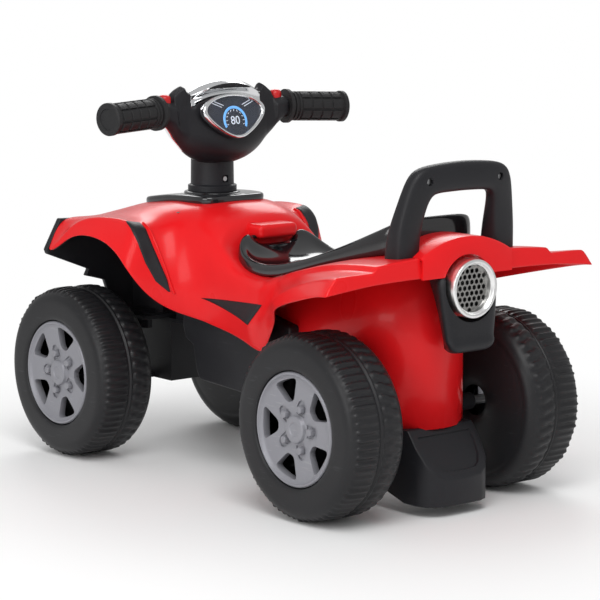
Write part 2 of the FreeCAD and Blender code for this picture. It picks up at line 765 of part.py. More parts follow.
def make_chassis_pan():
    """Spine, steering shelf, front axle keel with kingpin ears, rear axle saddles and fender liner."""
    plate = 4.0
    low = float(shelf_top) - plate
    spine_half = 36.0
    front_end = front(34.5)
    pan = [block(rear(150.5), pin_x + 12, -spine_half, spine_half, low, shelf_top)]
    pan.append(block(-axle_x + 10, rear(150.5), -54, 54, low, shelf_top))
    keel_back = pin_x - 5
    keel = block(keel_back, front_end, -30, 30, pin_low, shelf_top)
    keel = keel.cut(block(keel_back + 4, front_end - 4, -26, 26, pin_low - 1, low))
    pan.append(keel)
    tower = block(pin_x + 12.5, front_end - 2, -28, 28, low, level(40))
    tower = tower.cut(block(pin_x + 16.5, front_end - 6, -24, 24, low - 1, level(50)))
    tower = tower.common(under_skin(LINER_STATIONS))
    pan.append(tower)
    pan.append(skin(LINER_STATIONS, 2))
    for side_sign in (1, -1):
        pin_y = side_sign * float(d.kingpin_half)
        for ear_low in (pin_low, pin_low + pin_length - ear_thick):
            start = vec(axle_x, pin_y, ear_low)
            ear = Part.makeCylinder(12, float(ear_thick), start)
            inner_y = sorted((side_sign * 26, pin_y))
            web = block(axle_x - 12, axle_x + 12, inner_y[0], inner_y[1], ear_low, ear_low + ear_thick)
            bore = Part.makeCylinder(float(d.kingpin_radius), 20, start - vec(0, 0, 5))
            pan.append(ear.fuse(web).cut(bore))
        saddle = block(-axle_x - 21, -axle_x + 30, 36, 46, saddle_low, low + 1)
        saddle = saddle.cut(rod(vec(-axle_x, 30, axle_height), vec(-axle_x, 50, axle_height), d.axle_radius))
        pan.append(saddle if side_sign > 0 else mirrored(saddle))
        post = rod(vec(post_x, side_sign * 28, shelf_top - 1), vec(post_x, side_sign * 28, level(60)), 6)
        post = post.common(under_skin(shifted_stations(FRONT_STATIONS, float(d.shell_wall + d.part_gap))))
        pan.append(post)
        cheek = block(column_x - 22, column_x + 22, side_sign * 33 - 2, side_sign * 33 + 2, low + 1,
                      bush_low + 10)
        pan.append(cheek)
    pan.append(block(column_x - 22, column_x + 22, -35, 35, bush_low, bush_low + 10))
    bush_bore = rod(vec(column_x, 0, bush_low - 5), vec(column_x, 0, bush_low + 20), d.bush_radius)
    back_wall = block(-axle_x + 8, -axle_x + 12, -54, 54, low, shelf_top)
    pan.append(back_wall)
    column_hole = rod(vec(column_x, 0, level(0)), vec(column_x, 0, level(90)), d.bush_radius + 1)
    return pan[0].fuse(pan[1:]).cut(bush_bore.fuse(column_hole))


saddle_low = d.box_bottom - 2
bush_low = shelf_top + 32
post_x = front(-145.5)
shape_node("chassis_pan", make_chassis_pan())
node(washer(d.bush_radius, d.rod_radius + d.running_gap, 10, column_x, 0, bush_low), "column_bush_lower")

bin_wall = 2.5
bin = block(rear(20.5), rear(158.5), -50, 50, shelf_top, level(-27))
bin = bin.makeFillet(10, [edge for edge in bin.Edges if abs(edge.BoundBox.ZLength) > 20])
bin_inside = block(rear(20.5) + bin_wall, rear(158.5) - bin_wall, -50 + bin_wall, 50 - bin_wall,
                   shelf_top + bin_wall, level(0))
bin_inside = bin_inside.makeFillet(8, [edge for edge in bin_inside.Edges if abs(edge.BoundBox.ZLength) > 20])
shape_node("storage_bin", bin.cut(bin_inside))


# Seat lid

rest = d.part_gap + 0.2
SEAT_SECTIONS = [
    # distance behind the nose, underside, rim top, dish
    (0, level(11), level(18.5), level(10)),
    (3, level(7), level(22.5), level(8)),
    (8, level(1), level(19), level(5.5)),
    (20, level(-11), level(8), level(-2)),
    (35, level(-15) + rest + 0.3, level(-1), level(-8)),
    (55, level(-16) + rest, level(-6), level(-11)),
    (75, level(-17) + rest, level(-5.5), level(-11.5)),
    (110, level(-10) + rest, level(1), level(-5)),
    (150, level(1) + rest, level(12), level(5)),
    (195, level(12) + rest, level(27), level(18)),
    (245, level(22) + rest, d.backrest_top - 11, level(36)),
    (d.seat_length, level(23.7) + rest, d.backrest_top, d.backrest_top),
]


def seat_slab(lows, highs, reach):
    """Ruled slab across the seat, with its underside and top given along the length."""
    back = [seat_nose - distance for distance, *_ in SEAT_SECTIONS]
    lower = [vec(x, -reach, z) for x, z in zip(back, lows)]
    upper = [vec(x, -reach, z) for x, z in zip(back, highs)]
    return prism(lower + list(reversed(upper)), vec(0, 2 * reach, 0))


def make_seat():
    """Seat lid: thick rim around a dish that rises into a low backrest, hinged at its nose."""
    lows = [section[1] for section in SEAT_SECTIONS]
    tops = [section[2] for section in SEAT_SECTIONS]
    dishes = [section[3] for section in SEAT_SECTIONS]
    above = [float(z) + 80 for z in tops]
    solid = seat_slab(lows, tops, 90).common(seat_plan(0, level(-40), level(90)))
    dish = seat_slab(dishes, above, 80).common(seat_plan(-float(d.seat_rim) * 0.6, level(-40), level(140)))
    lip_room = float(d.lip_width) / 2 + 2.5
    front_edge = seat_nose - 30
    under_lip = seat_slab(dishes, above, 80).common(
        block(front_edge, seat_nose + 5, -lip_room, lip_room, level(-40), level(140)))
    solid = solid.cut(dish.fuse(under_lip))
    hollow = seat_slab([float(z) - 20 for z in lows], [float(z) - float(d.shell_wall) for z in dishes], 80)
    inner = seat_plan(-float(d.seat_rim) * 1.6, level(-40), level(90))
    room = block(seat_nose - d.seat_length + 30, seat_nose - 42, -80, 80, level(-40), level(90))
    hollow = hollow.common(inner.common(room))
    solid = solid.cut(hollow)
    bore = rod(vec(hinge_x, -80, hinge_z), vec(hinge_x, 80, hinge_z), d.hinge_radius + d.running_gap)
    return solid.cut(bore)


hinge_start = as_size(31.5)
hinge_end = as_size(55)
hinge_x = seat_nose - 5
hinge_z = level(17)
shape_node("seat", make_seat())
group("seat_hinge_pins", [
    cylinder(d.hinge_radius, hinge_end - hinge_start, hinge_x, start, hinge_z, X_AXIS, -90)
    for start in (hinge_start, -hinge_end)])


# Push handle, exhaust and foot at the back

def deck_cut(gap):
    """Everything under the rear deck and the tail hump, raised by a gap."""
    deck = raised(under_skin(REAR_STATIONS), gap)
    return deck.fuse(tail_segment(gap, hump_front + gap, tail_x - gap, level(-40)))


def make_push_handle():
    """Hollow arch in two shells that meet half way through its depth; gives (front, rear)."""
    foot = float(level(10))
    high = float(d.handle_top)
    half = float(d.handle_half)
    arch = [(-half, foot), (-half, high - 66), (-half + 13, high - 8), (-20, high), (20, high),
            (half - 13, high - 8), (half, high - 66), (half, foot)]
    gap_half = half - float(d.handle_bar) * 0.8
    gate = [(-gap_half, foot - 5), (-gap_half, high - 68), (-gap_half + 18, high - d.handle_bar),
            (gap_half - 18, high - d.handle_bar), (gap_half, high - 68), (gap_half, foot - 5)]
    deep = float(tail_x) - 40
    reach = 80
    outer = Part.Face(softened([vec(deep, y, z) for y, z in arch], [0, 20, 14, 60, 60, 14, 20, 0]))
    inner = Part.Face(softened([vec(deep, y, z) for y, z in gate], [0, 12, 9, 9, 12, 0]))
    frame = outer.extrude(vec(reach, 0, 0)).cut(inner.extrude(vec(reach, 0, 0)))
    lean_foot = float(tail_x) + 2.5
    lean_top = float(tail_x) - 7.5
    deep_foot = float(d.handle_depth)
    deep_top = deep_foot - 7
    side_view = [(lean_foot, foot), (lean_foot + deep_foot, foot), (lean_top + deep_top, high + 2),
                 (lean_top, high + 2), (lean_foot, high - 66)]
    lean = prism([vec(x, -half - 5, z) for x, z in side_view], vec(0, 2 * half + 10, 0))
    frame = frame.common(lean).cut(deck_cut(float(d.part_gap)))
    seam = [(lean_foot + 11, foot - 5), (lean_foot + 60, foot - 5), (lean_foot + 60, high + 9),
            (lean_top + 9, high + 9)]
    ahead = prism([vec(x, -half - 5, z) for x, z in seam], vec(0, 2 * half + 10, 0))
    holes = [rod(vec(tail_x - 30, sign * screw_y, screw_z), vec(tail_x, sign * screw_y, screw_z), 3.4)
             for sign in (1, -1)]
    return frame.common(ahead), frame.cut(ahead).cut(holes[0].fuse(holes[1]))


screw_y = 47.5
screw_z = d.handle_top - 17
handle_front, handle_rear = make_push_handle()
shape_node("push_handle_front", handle_front)
shape_node("push_handle_rear", handle_rear)
group("push_handle_screws", [
    cylinder(3, 5, tail_x + 1.6, sign * screw_y, screw_z, Y_AXIS, -90) for sign in (1, -1)])


def make_exhaust_housing():
    """Tapered black cowl behind the box, with a round socket for the exhaust ring."""
    half = float(d.housing_half)
    high = float(level(0.6))
    outline_yz = [(-half, high), (-half + 13, high - 27), (-half + 25, high - 60), (-16, high - 76),
                  (16, high - 76), (half - 25, high - 60), (half - 13, high - 27), (half, high)]
    face_x = float(tail_x) - 18.5
    wire = softened([vec(face_x, y, z) for y, z in outline_yz], [2, 30, 30, 18, 18, 30, 30, 2])
    cowl = Part.Face(wire).extrude(vec(70, 0, 0))
    slope = [(face_x - 1, high + 1), (face_x + 80, high + 1), (face_x + 80, high - 90),
             (face_x + 34, high - 90),
             (face_x + 6, high - 45), (face_x - 1, high - 38)]
    cowl = cowl.common(prism([vec(x, -90, z) for x, z in slope], vec(0, 180, 0)))
    gap = float(d.part_gap)
    cowl = cowl.cut(capsule(d.box_half + gap, rear(150.5), box_end - gap, d.box_bottom, level(60)))
    cowl = cowl.cut(block(box_end + d.box_half - 4, 100, -90, 90, 0, 400))
    socket = rod(vec(face_x - 10, 0, d.exhaust_height), vec(tail_x - 2.5, 0, d.exhaust_height),
                 d.exhaust_radius + 3)
    return cowl.cut(socket)


shape_node("exhaust_housing", make_exhaust_housing())

ring = new_body("exhaust_ring")
ring_inner = d.exhaust_radius - d.ring_wall
turn(ring, outline(ring, "XZ_Plane", [
    (0, ring_inner), (d.ring_depth, ring_inner), (d.ring_depth, d.exhaust_radius - 0.8),
    (d.ring_depth - 3, d.exhaust_radius), (6, d.exhaust_radius), (0, d.exhaust_radius - 1.5)]), "H_Axis")
place(ring, tail_x - 2.5, 0, d.exhaust_height, Z_AXIS, 180)


def make_exhaust_grille():
    """Disc inside the ring, pierced by a hexagonal mesh."""
    start = float(tail_x) - 11
    radius = float(ring_inner)
    height = float(d.exhaust_height)
    disc = rod(vec(start, 0, height), vec(start - 2, 0, height), radius)
    pitch = float(d.mesh_pitch)
    hole = float(d.mesh_hole)
    holes = []
    rows = int(radius / (pitch * 0.866)) + 1
    for row in range(-rows, rows + 1):
        z = row * pitch * 0.866
        for column in range(-rows - 1, rows + 2):
            y = (column + (row % 2) / 2) * pitch
            if math.hypot(y, z) < radius - hole - 1:
                corners = [vec(start + 1, y + hole * math.sin(k * math.pi / 3),
                               height + z + hole * math.cos(k * math.pi / 3))
                           for k in range(6)]
                holes.append(prism(corners, vec(-4, 0, 0)))
    return disc.cut(Part.makeCompound(holes))


shape_node("exhaust_grille", make_exhaust_grille())


def make_foot():
    """Hollow anti-tip foot under the box, open at its top, with a sunk panel on its slope."""
    back = float(tail_x) - 7.5
    high = float(saddle_low)
    low = float(d.foot_clearance)
    half = float(d.foot_half)
    wall = float(d.shell_wall)
    profile = [(back, low), (back, low + 27), (back + 35, high), (back + 110, high), (back + 75, low + 11),
               (back + 40, low)]
    inner = [(back + wall, low + wall), (back + wall, low + 26), (back + 36 + wall, high + 1),
             (back + 105, high + 1), (back + 73, low + 15), (back + 39, low + wall)]
    outer_wire = softened([vec(x, -half, z) for x, z in profile], [3, 4, 6, 4, 12, 10])
    foot = Part.Face(outer_wire).extrude(vec(0, 2 * half, 0))
    foot = foot.cut(prism([vec(x, wall - half, z) for x, z in inner], vec(0, 2 * (half - wall), 0)))
    slope = math.atan2(high - low - 27, 35)
    panel = block(9, 48, -half + 12, half - 12, -1.2, 5)
    panel.rotate(vec(0, 0, 0), Y_AXIS, -math.degrees(slope))
    panel.translate(vec(back, 0, low + 27))
    return foot.cut(panel)


shape_node("anti_tip_foot", make_foot())
group("foot_screws", [
    cylinder(d.screw_radius, 22, -axle_x + along, sign * 41, saddle_low - 10) for along in (-16,
        24) for sign in (1, -1)])
group("body_screws", [
    cylinder(d.screw_radius, 20, post_x, sign * 28, shelf_top - 6) for sign in (1, -1)])


# Front panel and dash

def make_front_grille():
    """Front panel closing the body: shield outline, leaning forward at its foot, with level slots."""
    half = float(d.fender_half)
    high = float(level(27))
    outline_yz = [(-half, high - 41), (-half + 18, high - 4), (-72, high), (72, high), (half - 18, high - 4),
                  (half, high - 41), (half - 12, high - 48), (66, high - 48), (48, high - 72), (-48,
                      high - 72),
                  (-66, high - 48), (-half + 12, high - 48)]
    back = float(front(30.7))
    wire = softened([vec(back, y, z) for y, z in outline_yz], [3, 8, 20, 20, 8, 3, 4, 10, 8, 8, 10, 4])
    panel = Part.Face(wire).extrude(vec(20, 0, 0))
    lean = [(back, high + 1), (back + 8, high + 1), (back + 14, high - 80), (back, high - 80)]
    panel = panel.common(prism([vec(x, -half - 5, z) for x, z in lean], vec(0, 2 * half + 10, 0)))
    slots = []
    for row in range(4):
        z = high - 16 - 13 * row
        reach = 52 - 5 * row
        slots.append(block(back + 3, back + 30, -reach, reach, z - 3.5, z + 3.5))
    return panel.cut(Part.makeCompound(slots))


shape_node("front_grille", make_front_grille())


def make_dash_plate():
    """Glossy plate on the tank around the steering column, round in front and square behind."""
    low = float(tank_top) - 14
    high = float(tank_top) + 5.5
    half = 45.0
    points = [vec(column_x - 44, -half, low), vec(column_x + 52, -half, low), vec(column_x + 70, -22, low),
              vec(column_x + 70, 22, low), vec(column_x + 52, half, low), vec(column_x - 44, half, low)]
    plate = Part.Face(softened(points, [10, 16, 18, 18, 16, 10])).extrude(vec(0, 0, high - low))
    bend = column_x + 14
    side_view = [(column_x - 60, low - 1), (column_x - 60, high), (bend, high), (column_x + 75, high - 9.5),
                 (column_x + 75, low - 1)]
    plate = plate.common(prism([vec(x, -half - 5, z) for x, z in side_view], vec(0, 2 * half + 10, 0)))
    plate = plate.cut(raised(under_skin(FRONT_STATIONS), float(d.part_gap)))
    boss = rod(vec(column_x, 0, high - 2), vec(column_x, 0, boss_top), d.flange_radius + 4)
    bore = rod(vec(column_x, 0, low - 10), vec(column_x, 0, high + 20), d.bush_radius)
    return plate.fuse(boss).cut(bore)


boss_top = tank_top + 7.5
shape_node("dash_plate", make_dash_plate())
node(washer(d.bush_radius, d.rod_radius + d.running_gap, 14, column_x, 0, boss_top - 14), "column_bush_upper")


# Handlebar

neck = new_body("steering_neck")
neck_low = boss_top + d.part_gap
neck_rise = d.bar_height - 44.5 - neck_low
turn(neck, outline(neck, "XZ_Plane", [
    (d.rod_radius + d.running_gap, 0), (d.flange_radius, 0), (d.flange_radius, 6), (d.neck_radius + 0.5, 7.5),
    (d.neck_radius, neck_rise), (d.rod_radius + d.running_gap, neck_rise)]))
pocket(neck, outline(neck, "YZ_Plane", [(-4, 10), (4, 10), (4, 18), (-4, 18)], -d.neck_radius - 2), 5,
       back=True)
place(neck, column_x, 0, neck_low)
node(cylinder(2.6, 2.5, column_x - d.neck_radius + 0.5, 0, neck_low + 14, Y_AXIS, 90), "neck_screw")

bar_x = column_x - 18
HULL_SECTIONS = [
    # distance from the middle, eight points (x, z) round the section from the lower rear corner
    (0, [(-23, -56), (-54, -35), (-33, 19), (-25, 31), (-9, 35.5), (12, 24), (20, -12), (20, -56)]),
    (22, [(-22, -50), (-52, -34), (-32, 18), (-25, 29), (-9, 32), (9, 21), (16, -12), (13, -50)]),
    (55, [(-20, -31), (-42, -24), (-38, 14), (-30, 26), (-14, 26), (0, 18), (4, -6), (-3, -30)]),
    (76, [(-22, -15.5), (-31, -9), (-31, 4), (-25, 10.5), (-12, 10.5), (-4, 5), (-3, -6), (-10, -16)]),
    (88, [(-24, -13.5), (-31, -6), (-31, 6), (-24, 12.5), (-12, 12.5), (-5, 6), (-5, -6), (-12, -13.5)]),
]


def hull(wall, reach):
    """Cover outline lofted across the handlebar, shrunk by a wall."""
    wires = []
    rows = [(-y, points) for y, points in reversed(HULL_SECTIONS[1:])] + HULL_SECTIONS
    for y, points in rows:
        middle_x = sum(x for x, _ in points) / len(points)
        middle_z = sum(z for _, z in points) / len(points)
        ring_points = []
        for x, z in points:
            size = math.hypot(x - middle_x, z - middle_z)
            share = 1 - wall / size
            ring_points.append(vec(column_x + middle_x + (x - middle_x) * share,
                                   max(-reach, min(reach, y)),
                                   d.bar_height + middle_z + (z - middle_z) * share))
        wires.append(closed(ring_points))
    return loft(wires, True)


DIAL_TILT = math.radians(22.8)
dial_in = FreeCAD.Vector(math.cos(DIAL_TILT), 0, -math.sin(DIAL_TILT))
dial_up = FreeCAD.Vector(math.sin(DIAL_TILT), 0, math.cos(DIAL_TILT))
dial_middle = vec(column_x - 45.5, 0, d.bar_height - 8)


def shield(grow, start, end):
    """Rounded shield in the plane of the dial, from one depth behind its face to another."""
    points = [(43 + grow, 17), (30 + grow, 24 + grow), (-30 - grow, 24 + grow), (-43 - grow, 17),
              (-43 - grow, 6), (-9, -25 - grow), (9, -25 - grow), (43 + grow, 6)]
    corners = [dial_middle + Y_AXIS * y + dial_up * z + dial_in * start for y, z in points]
    radii = [7, 14, 14, 7, 9, 9, 9, 9]
    return Part.Face(softened(corners, radii)).extrude(dial_in * (end - start))


def make_covers():
    """Rear cover with its dial plinth and arms, and the bright front cover; gives (rear, front)."""
    solid = hull(0, 84.8)
    cavity = hull(3, 80)
    seam = [(-30, 50), (60, 50), (60, -70), (0, -70)]
    ahead = prism([vec(column_x + x, -62, d.bar_height + z) for x, z in seam], vec(0, 124, 0))
    plinth = shield(2.5, 0, 26)
    neck_hole = rod(vec(column_x, 0, d.bar_height - 80), vec(column_x, 0, d.bar_height - 30),
                    d.neck_radius + 0.3)
    front_cover = solid.common(ahead).cut(cavity.fuse([neck_hole, plinth]))
    rear_cover = solid.cut(ahead).fuse(plinth.cut(ahead)).cut(cavity.fuse([neck_hole]))
    window = shield(-5, -1, 30)
    recess = shield(0.1, -1, 4)
    rear_cover = rear_cover.cut(window.fuse(recess))
    for sign in (1, -1):
        for rise in SCREW_RISES:
            start = vec(column_x - 60, sign * screw_half, d.bar_height + rise)
            boss = rod(start, start + vec(90, 0, 0), 5).common(solid)
            rear_cover = rear_cover.fuse(boss.cut(ahead))
            front_cover = front_cover.fuse(boss.common(ahead))
        well = rod(vec(button_x, sign * button_y, button_z - 20),
                   vec(button_x, sign * button_y, button_z + 20),
                   d.button_radius + 0.4)
        channel = rod(vec(bar_x, sign * 60, d.bar_height), vec(bar_x, sign * 100, d.bar_height),
                      tube_radius + 0.1)
        rear_cover = rear_cover.cut(well.fuse(channel))
    return rear_cover, front_cover


tube_radius = as_size(6)
SCREW_RISES = (16, -22)
screw_half = 47.0
button_x = column_x - 18
button_y = 76.0
button_z = d.bar_height + 10.5
rear_cover, front_cover = make_covers()
shape_node("handlebar_rear_cover", rear_cover)
shape_node("handlebar_front_cover", front_cover)
shape_node("dash_bezel", shield(0, -2, 2.5).cut(shield(-5, -5, 5)))
shape_node("dash_dial", shield(-0.2, 2.5, 4))
shape_node("dash_lens", shield(-5.1, 1.2, 2.5))


# Grips, tube, buttons and what is inside the covers

grip_base = FreeCAD.Vector(float(bar_x), 88.6, float(d.bar_height))
grip_tip = FreeCAD.Vector(float(bar_x) - 13.5, 88.6 + float(d.grip_length) * 0.985, float(d.bar_height) - 2.9)


def make_grip(label, sign):
    """Rubber grip: inner flange, two ridges, rows of raised pads and an end ring."""
    body = new_body(label)
    bore = tube_radius + 0.1
    radius = d.grip_radius
    long = d.grip_length
    low = radius - 1.2
    points = [(bore, 0), (radius + 2.5, 0), (radius + 2.5, 4), (low, 5), (low, 7), (radius, 7.6),
              (radius, 9.4),
              (low, 10), (low, 12), (radius, 12.6), (radius, 14.4), (low, 15)]
    rows = 4
    row_pitch = (long - 24) / rows
    for row in range(rows):
        start = 16 + row * row_pitch
        points += [(low, start), (radius, start + 0.8), (radius, start + row_pitch - 2),
                   (low, start + row_pitch - 1.2)]
    points += [(low, long - 6), (radius + 1, long - 5), (radius + 1, long - 1), (radius - 0.5, long),
               (radius - 5, long),
               (radius - 5.5, long - 1), (0, long - 1), (0, long - 6), (bore, long - 6)]
    turn(body, outline(body, "XZ_Plane", points))
    groove = outline(body, "XY_Plane", [
        (low - 0.4, -1.4), (radius + 4, -1.4), (radius + 4, 1.4), (low - 0.4, 1.4)], 16)
    cut = pocket(body, groove, long - 22.5, back=True)
    polar(body, [cut], "Z_Axis", 8)
    direction = grip_tip - grip_base
    base = FreeCAD.Vector(grip_base.x, sign * grip_base.y, grip_base.z)
    direction = FreeCAD.Vector(direction.x, sign * direction.y, direction.z)
    body.Placement = FreeCAD.Placement(base, FreeCAD.Rotation(Z_AXIS, direction))
    return body


make_grip("grip_left", 1)
make_grip("grip_right", -1)


def make_bar_tube():
    """Steel tube through the covers, bent back at both grips."""
    radius = float(tube_radius)
    bend = grip_base
    reach = bend + (grip_tip - grip_base) * ((float(d.grip_length) - 7) / (grip_tip - grip_base).Length)
    left = rod(bend, reach, radius).fuse(Part.makeSphere(radius, bend))
    middle = rod(FreeCAD.Vector(bend.x, -bend.y, bend.z), bend, radius)
    return middle.fuse([left, mirrored(left)])


shape_node("handlebar_tube", make_bar_tube())


def make_button(label, sign):
    """Domed push button in a well on the cover's arm, with a collar under the cover."""
    body = new_body(label)
    radius = d.button_radius
    turn(body, outline(body, "XZ_Plane", [
        (0, -0.8), (radius, -0.8), (radius, 2.2), (radius - 1, 3.4), (radius - 3, 4.2), (0, 4.6)]))
    return place(body, button_x, sign * button_y, button_z)


make_button("button_left", 1)
make_button("button_right", -1)

box_x = column_x - 6
box_low = d.bar_height - 44.5
holder = block(box_x - 9, box_x + 11, -26.2, 26.2, box_low, box_low + 34)
shape_node("battery_box", holder.cut(block(box_x - 7, box_x + 20, -25.1, 25.1, box_low + 1.5,
                                           box_low + 32.5)))
group("batteries", [
    cylinder(7.2, 50, box_x + 1.5, -25, box_low + rise, X_AXIS, -90) for rise in (9, 24.5)])
board = [dial_middle + Y_AXIS * y + dial_up * z + dial_in * 4 for y,
         z in ((-20, -8), (20, -8), (24, 15), (-24, 15))]
shape_node("circuit_board", prism(board, dial_in * 1.6))
node(cylinder(9, 7, box_x + 4, 0, box_low + 34), "speaker")
group("handlebar_screws", [
    cylinder(d.screw_radius, 16, column_x - 22, sign * screw_half, d.bar_height + rise, Y_AXIS, 90)
    for sign in (1, -1) for rise in SCREW_RISES])


# Check and export

doc.recompute()
for item in doc.Objects:
    bad = [state for state in item.State if state in ("Invalid", "Error")]
    if bad:
        raise RuntimeError(f"{item.Label}: {bad}")
os.makedirs("parts", exist_ok=True)
for item in NODES:
    if item.Shape.isNull() or not item.Shape.isValid():
        raise RuntimeError(f"{item.Label}: shape is not valid")
    item.Shape.exportStep(f"parts/{item.Label}.step")
print(len(NODES), "sub-parts written")
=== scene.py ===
import json
import math

import bmesh
import bpy
from mathutils import Matrix, Vector
from mathutils.bvhtree import BVHTree


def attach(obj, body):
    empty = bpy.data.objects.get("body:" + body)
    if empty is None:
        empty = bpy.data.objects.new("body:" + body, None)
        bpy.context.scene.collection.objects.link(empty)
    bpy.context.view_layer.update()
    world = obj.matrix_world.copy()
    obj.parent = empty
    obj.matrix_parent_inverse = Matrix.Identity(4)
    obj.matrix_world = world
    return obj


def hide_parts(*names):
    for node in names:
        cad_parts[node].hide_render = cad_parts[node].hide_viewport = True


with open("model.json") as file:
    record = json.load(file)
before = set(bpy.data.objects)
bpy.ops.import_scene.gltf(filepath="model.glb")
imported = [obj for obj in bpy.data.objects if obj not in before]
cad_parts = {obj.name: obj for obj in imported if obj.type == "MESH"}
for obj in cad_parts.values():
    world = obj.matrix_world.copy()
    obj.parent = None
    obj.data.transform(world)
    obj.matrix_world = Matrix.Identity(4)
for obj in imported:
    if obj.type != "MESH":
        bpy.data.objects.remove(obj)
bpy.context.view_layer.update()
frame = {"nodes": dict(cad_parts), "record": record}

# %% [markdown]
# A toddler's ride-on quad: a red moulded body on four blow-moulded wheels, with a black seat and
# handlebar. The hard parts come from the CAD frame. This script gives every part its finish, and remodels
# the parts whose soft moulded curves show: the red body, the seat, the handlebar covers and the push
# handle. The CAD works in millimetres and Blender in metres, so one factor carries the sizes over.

MM = 0.001
SIDES = (("left", 1), ("right", -1))
scene = bpy.context.scene
scene.view_settings.view_transform = "Standard"
nodes = frame["nodes"]

# %% [markdown]
# Moulded plastic is never one flat colour. Close up it has a fine grain from the spark-eroded mould, a
# slow drift in its gloss, and hairline scuffs from hands and shoes. All finishes of the quad share these
# effects, so each is a node group that is built once. Noise in Object coordinates keeps it fixed to the
# part.

# %% Helpers: add one node and fill its inputs, and start a group
def add_node(tree, kind, settings=None, **inputs):
    node = tree.nodes.new(kind)
    for name, value in (settings or {}).items():
        setattr(node, name, value)
    for name, value in inputs.items():
        socket = node.inputs[name.replace("_", " ")]
        if isinstance(value, bpy.types.NodeSocket):
            tree.links.new(value, socket)
        else:
            socket.default_value = value
    return node


def new_group(name, inputs, outputs):
    """Empty shader group with float inputs (name: start value) and outputs; gives (tree, in, out)."""
    tree = bpy.data.node_groups.new(name, "ShaderNodeTree")
    for label, value in inputs.items():
        socket = tree.interface.new_socket(label, in_out="INPUT", socket_type="NodeSocketFloat")
        socket.default_value = value
    for label in outputs:
        tree.interface.new_socket(label, in_out="OUTPUT", socket_type="NodeSocketFloat")
    return tree, tree.nodes.new("NodeGroupInput"), tree.nodes.new("NodeGroupOutput")


# %% Group: grain of the mould, as a height and a gloss drift
grain_group, g_in, g_out = new_group(
    "mould_grain", {"Grain Scale": 900.0, "Rough Low": 0.3, "Rough High": 0.4}, ["Height", "Roughness"])
place = add_node(grain_group, "ShaderNodeTexCoord")
grain = add_node(grain_group, "ShaderNodeTexNoise", Vector=place.outputs["Object"],
                 Scale=g_in.outputs["Grain Scale"], Detail=3.0, Roughness=0.6)
drift = add_node(grain_group, "ShaderNodeTexNoise", Vector=place.outputs["Object"], Scale=14.0, Detail=2.0)
gloss = add_node(grain_group, "ShaderNodeMapRange", Value=drift.outputs["Fac"], From_Min=0.2, From_Max=0.8,
                 To_Min=g_in.outputs["Rough Low"], To_Max=g_in.outputs["Rough High"])
grain_group.links.new(grain.outputs["Fac"], g_out.inputs["Height"])
grain_group.links.new(gloss.outputs["Result"], g_out.inputs["Roughness"])

# %% Group: hairline scuffs, as a mask
scuff_group, s_in, s_out = new_group("hairline_scuffs", {"Amount": 0.5}, ["Mask"])
place = add_node(scuff_group, "ShaderNodeTexCoord")
stretch = add_node(scuff_group, "ShaderNodeMapping", Vector=place.outputs["Object"],
                   Rotation=(0.5, 0.3, 0.9), Scale=(1.0, 26.0, 9.0))
streaks = add_node(scuff_group, "ShaderNodeTexNoise", Vector=stretch.outputs["Vector"], Scale=42.0,
                   Detail=4.0)
hairs = add_node(scuff_group, "ShaderNodeMapRange", Value=streaks.outputs["Fac"], From_Min=0.62,
                 From_Max=0.72, To_Min=0.0, To_Max=s_in.outputs["Amount"])
scuff_group.links.new(hairs.outputs["Result"], s_out.inputs["Mask"])
print("shared effects:", grain_group.name, scuff_group.name)

# %% [markdown]
# Every plastic of the quad is the same recipe with other numbers: two near tones that drift into each
# other, a roughness range from the grain group, scuffs that lighten the tone a little, and a small bump.
# Glossy red and piano black get a clear coat on top, as the polished mould leaves a skin that mirrors the
# studio.

# %% Helper: one moulded finish
def moulded(name, tone, drifted, scuffed, rough, grain_scale, bump, scuffs, **shader_values):
    finish = bpy.data.materials.new(name)
    finish.use_nodes = True
    tree = finish.node_tree
    shader = tree.nodes["Principled BSDF"]
    for label, value in shader_values.items():
        shader.inputs[label.replace("_", " ")].default_value = value
    spot = add_node(tree, "ShaderNodeTexCoord")
    cloud = add_node(tree, "ShaderNodeTexNoise", Vector=spot.outputs["Object"], Scale=9.0, Detail=3.0)
    tones = add_node(tree, "ShaderNodeValToRGB", Fac=cloud.outputs["Fac"])
    for stop, position, color in zip(tones.color_ramp.elements, (0.2, 0.8), (tone, drifted)):
        stop.position = position
        stop.color = (*color, 1.0)
    marks = add_node(tree, "ShaderNodeGroup", {"node_tree": scuff_group}, Amount=scuffs)
    mixed = add_node(tree, "ShaderNodeMixRGB", Fac=marks.outputs["Mask"], Color1=tones.outputs["Color"],
                     Color2=(*scuffed, 1.0))
    skin = add_node(tree, "ShaderNodeGroup", {"node_tree": grain_group}, Grain_Scale=grain_scale,
                    Rough_Low=rough[0], Rough_High=rough[1])
    relief = add_node(tree, "ShaderNodeBump", Height=skin.outputs["Height"], Strength=bump, Distance=0.0004)
    tree.links.new(mixed.outputs["Color"], shader.inputs["Base Color"])
    tree.links.new(skin.outputs["Roughness"], shader.inputs["Roughness"])
    tree.links.new(relief.outputs["Normal"], shader.inputs["Normal"])
    return finish


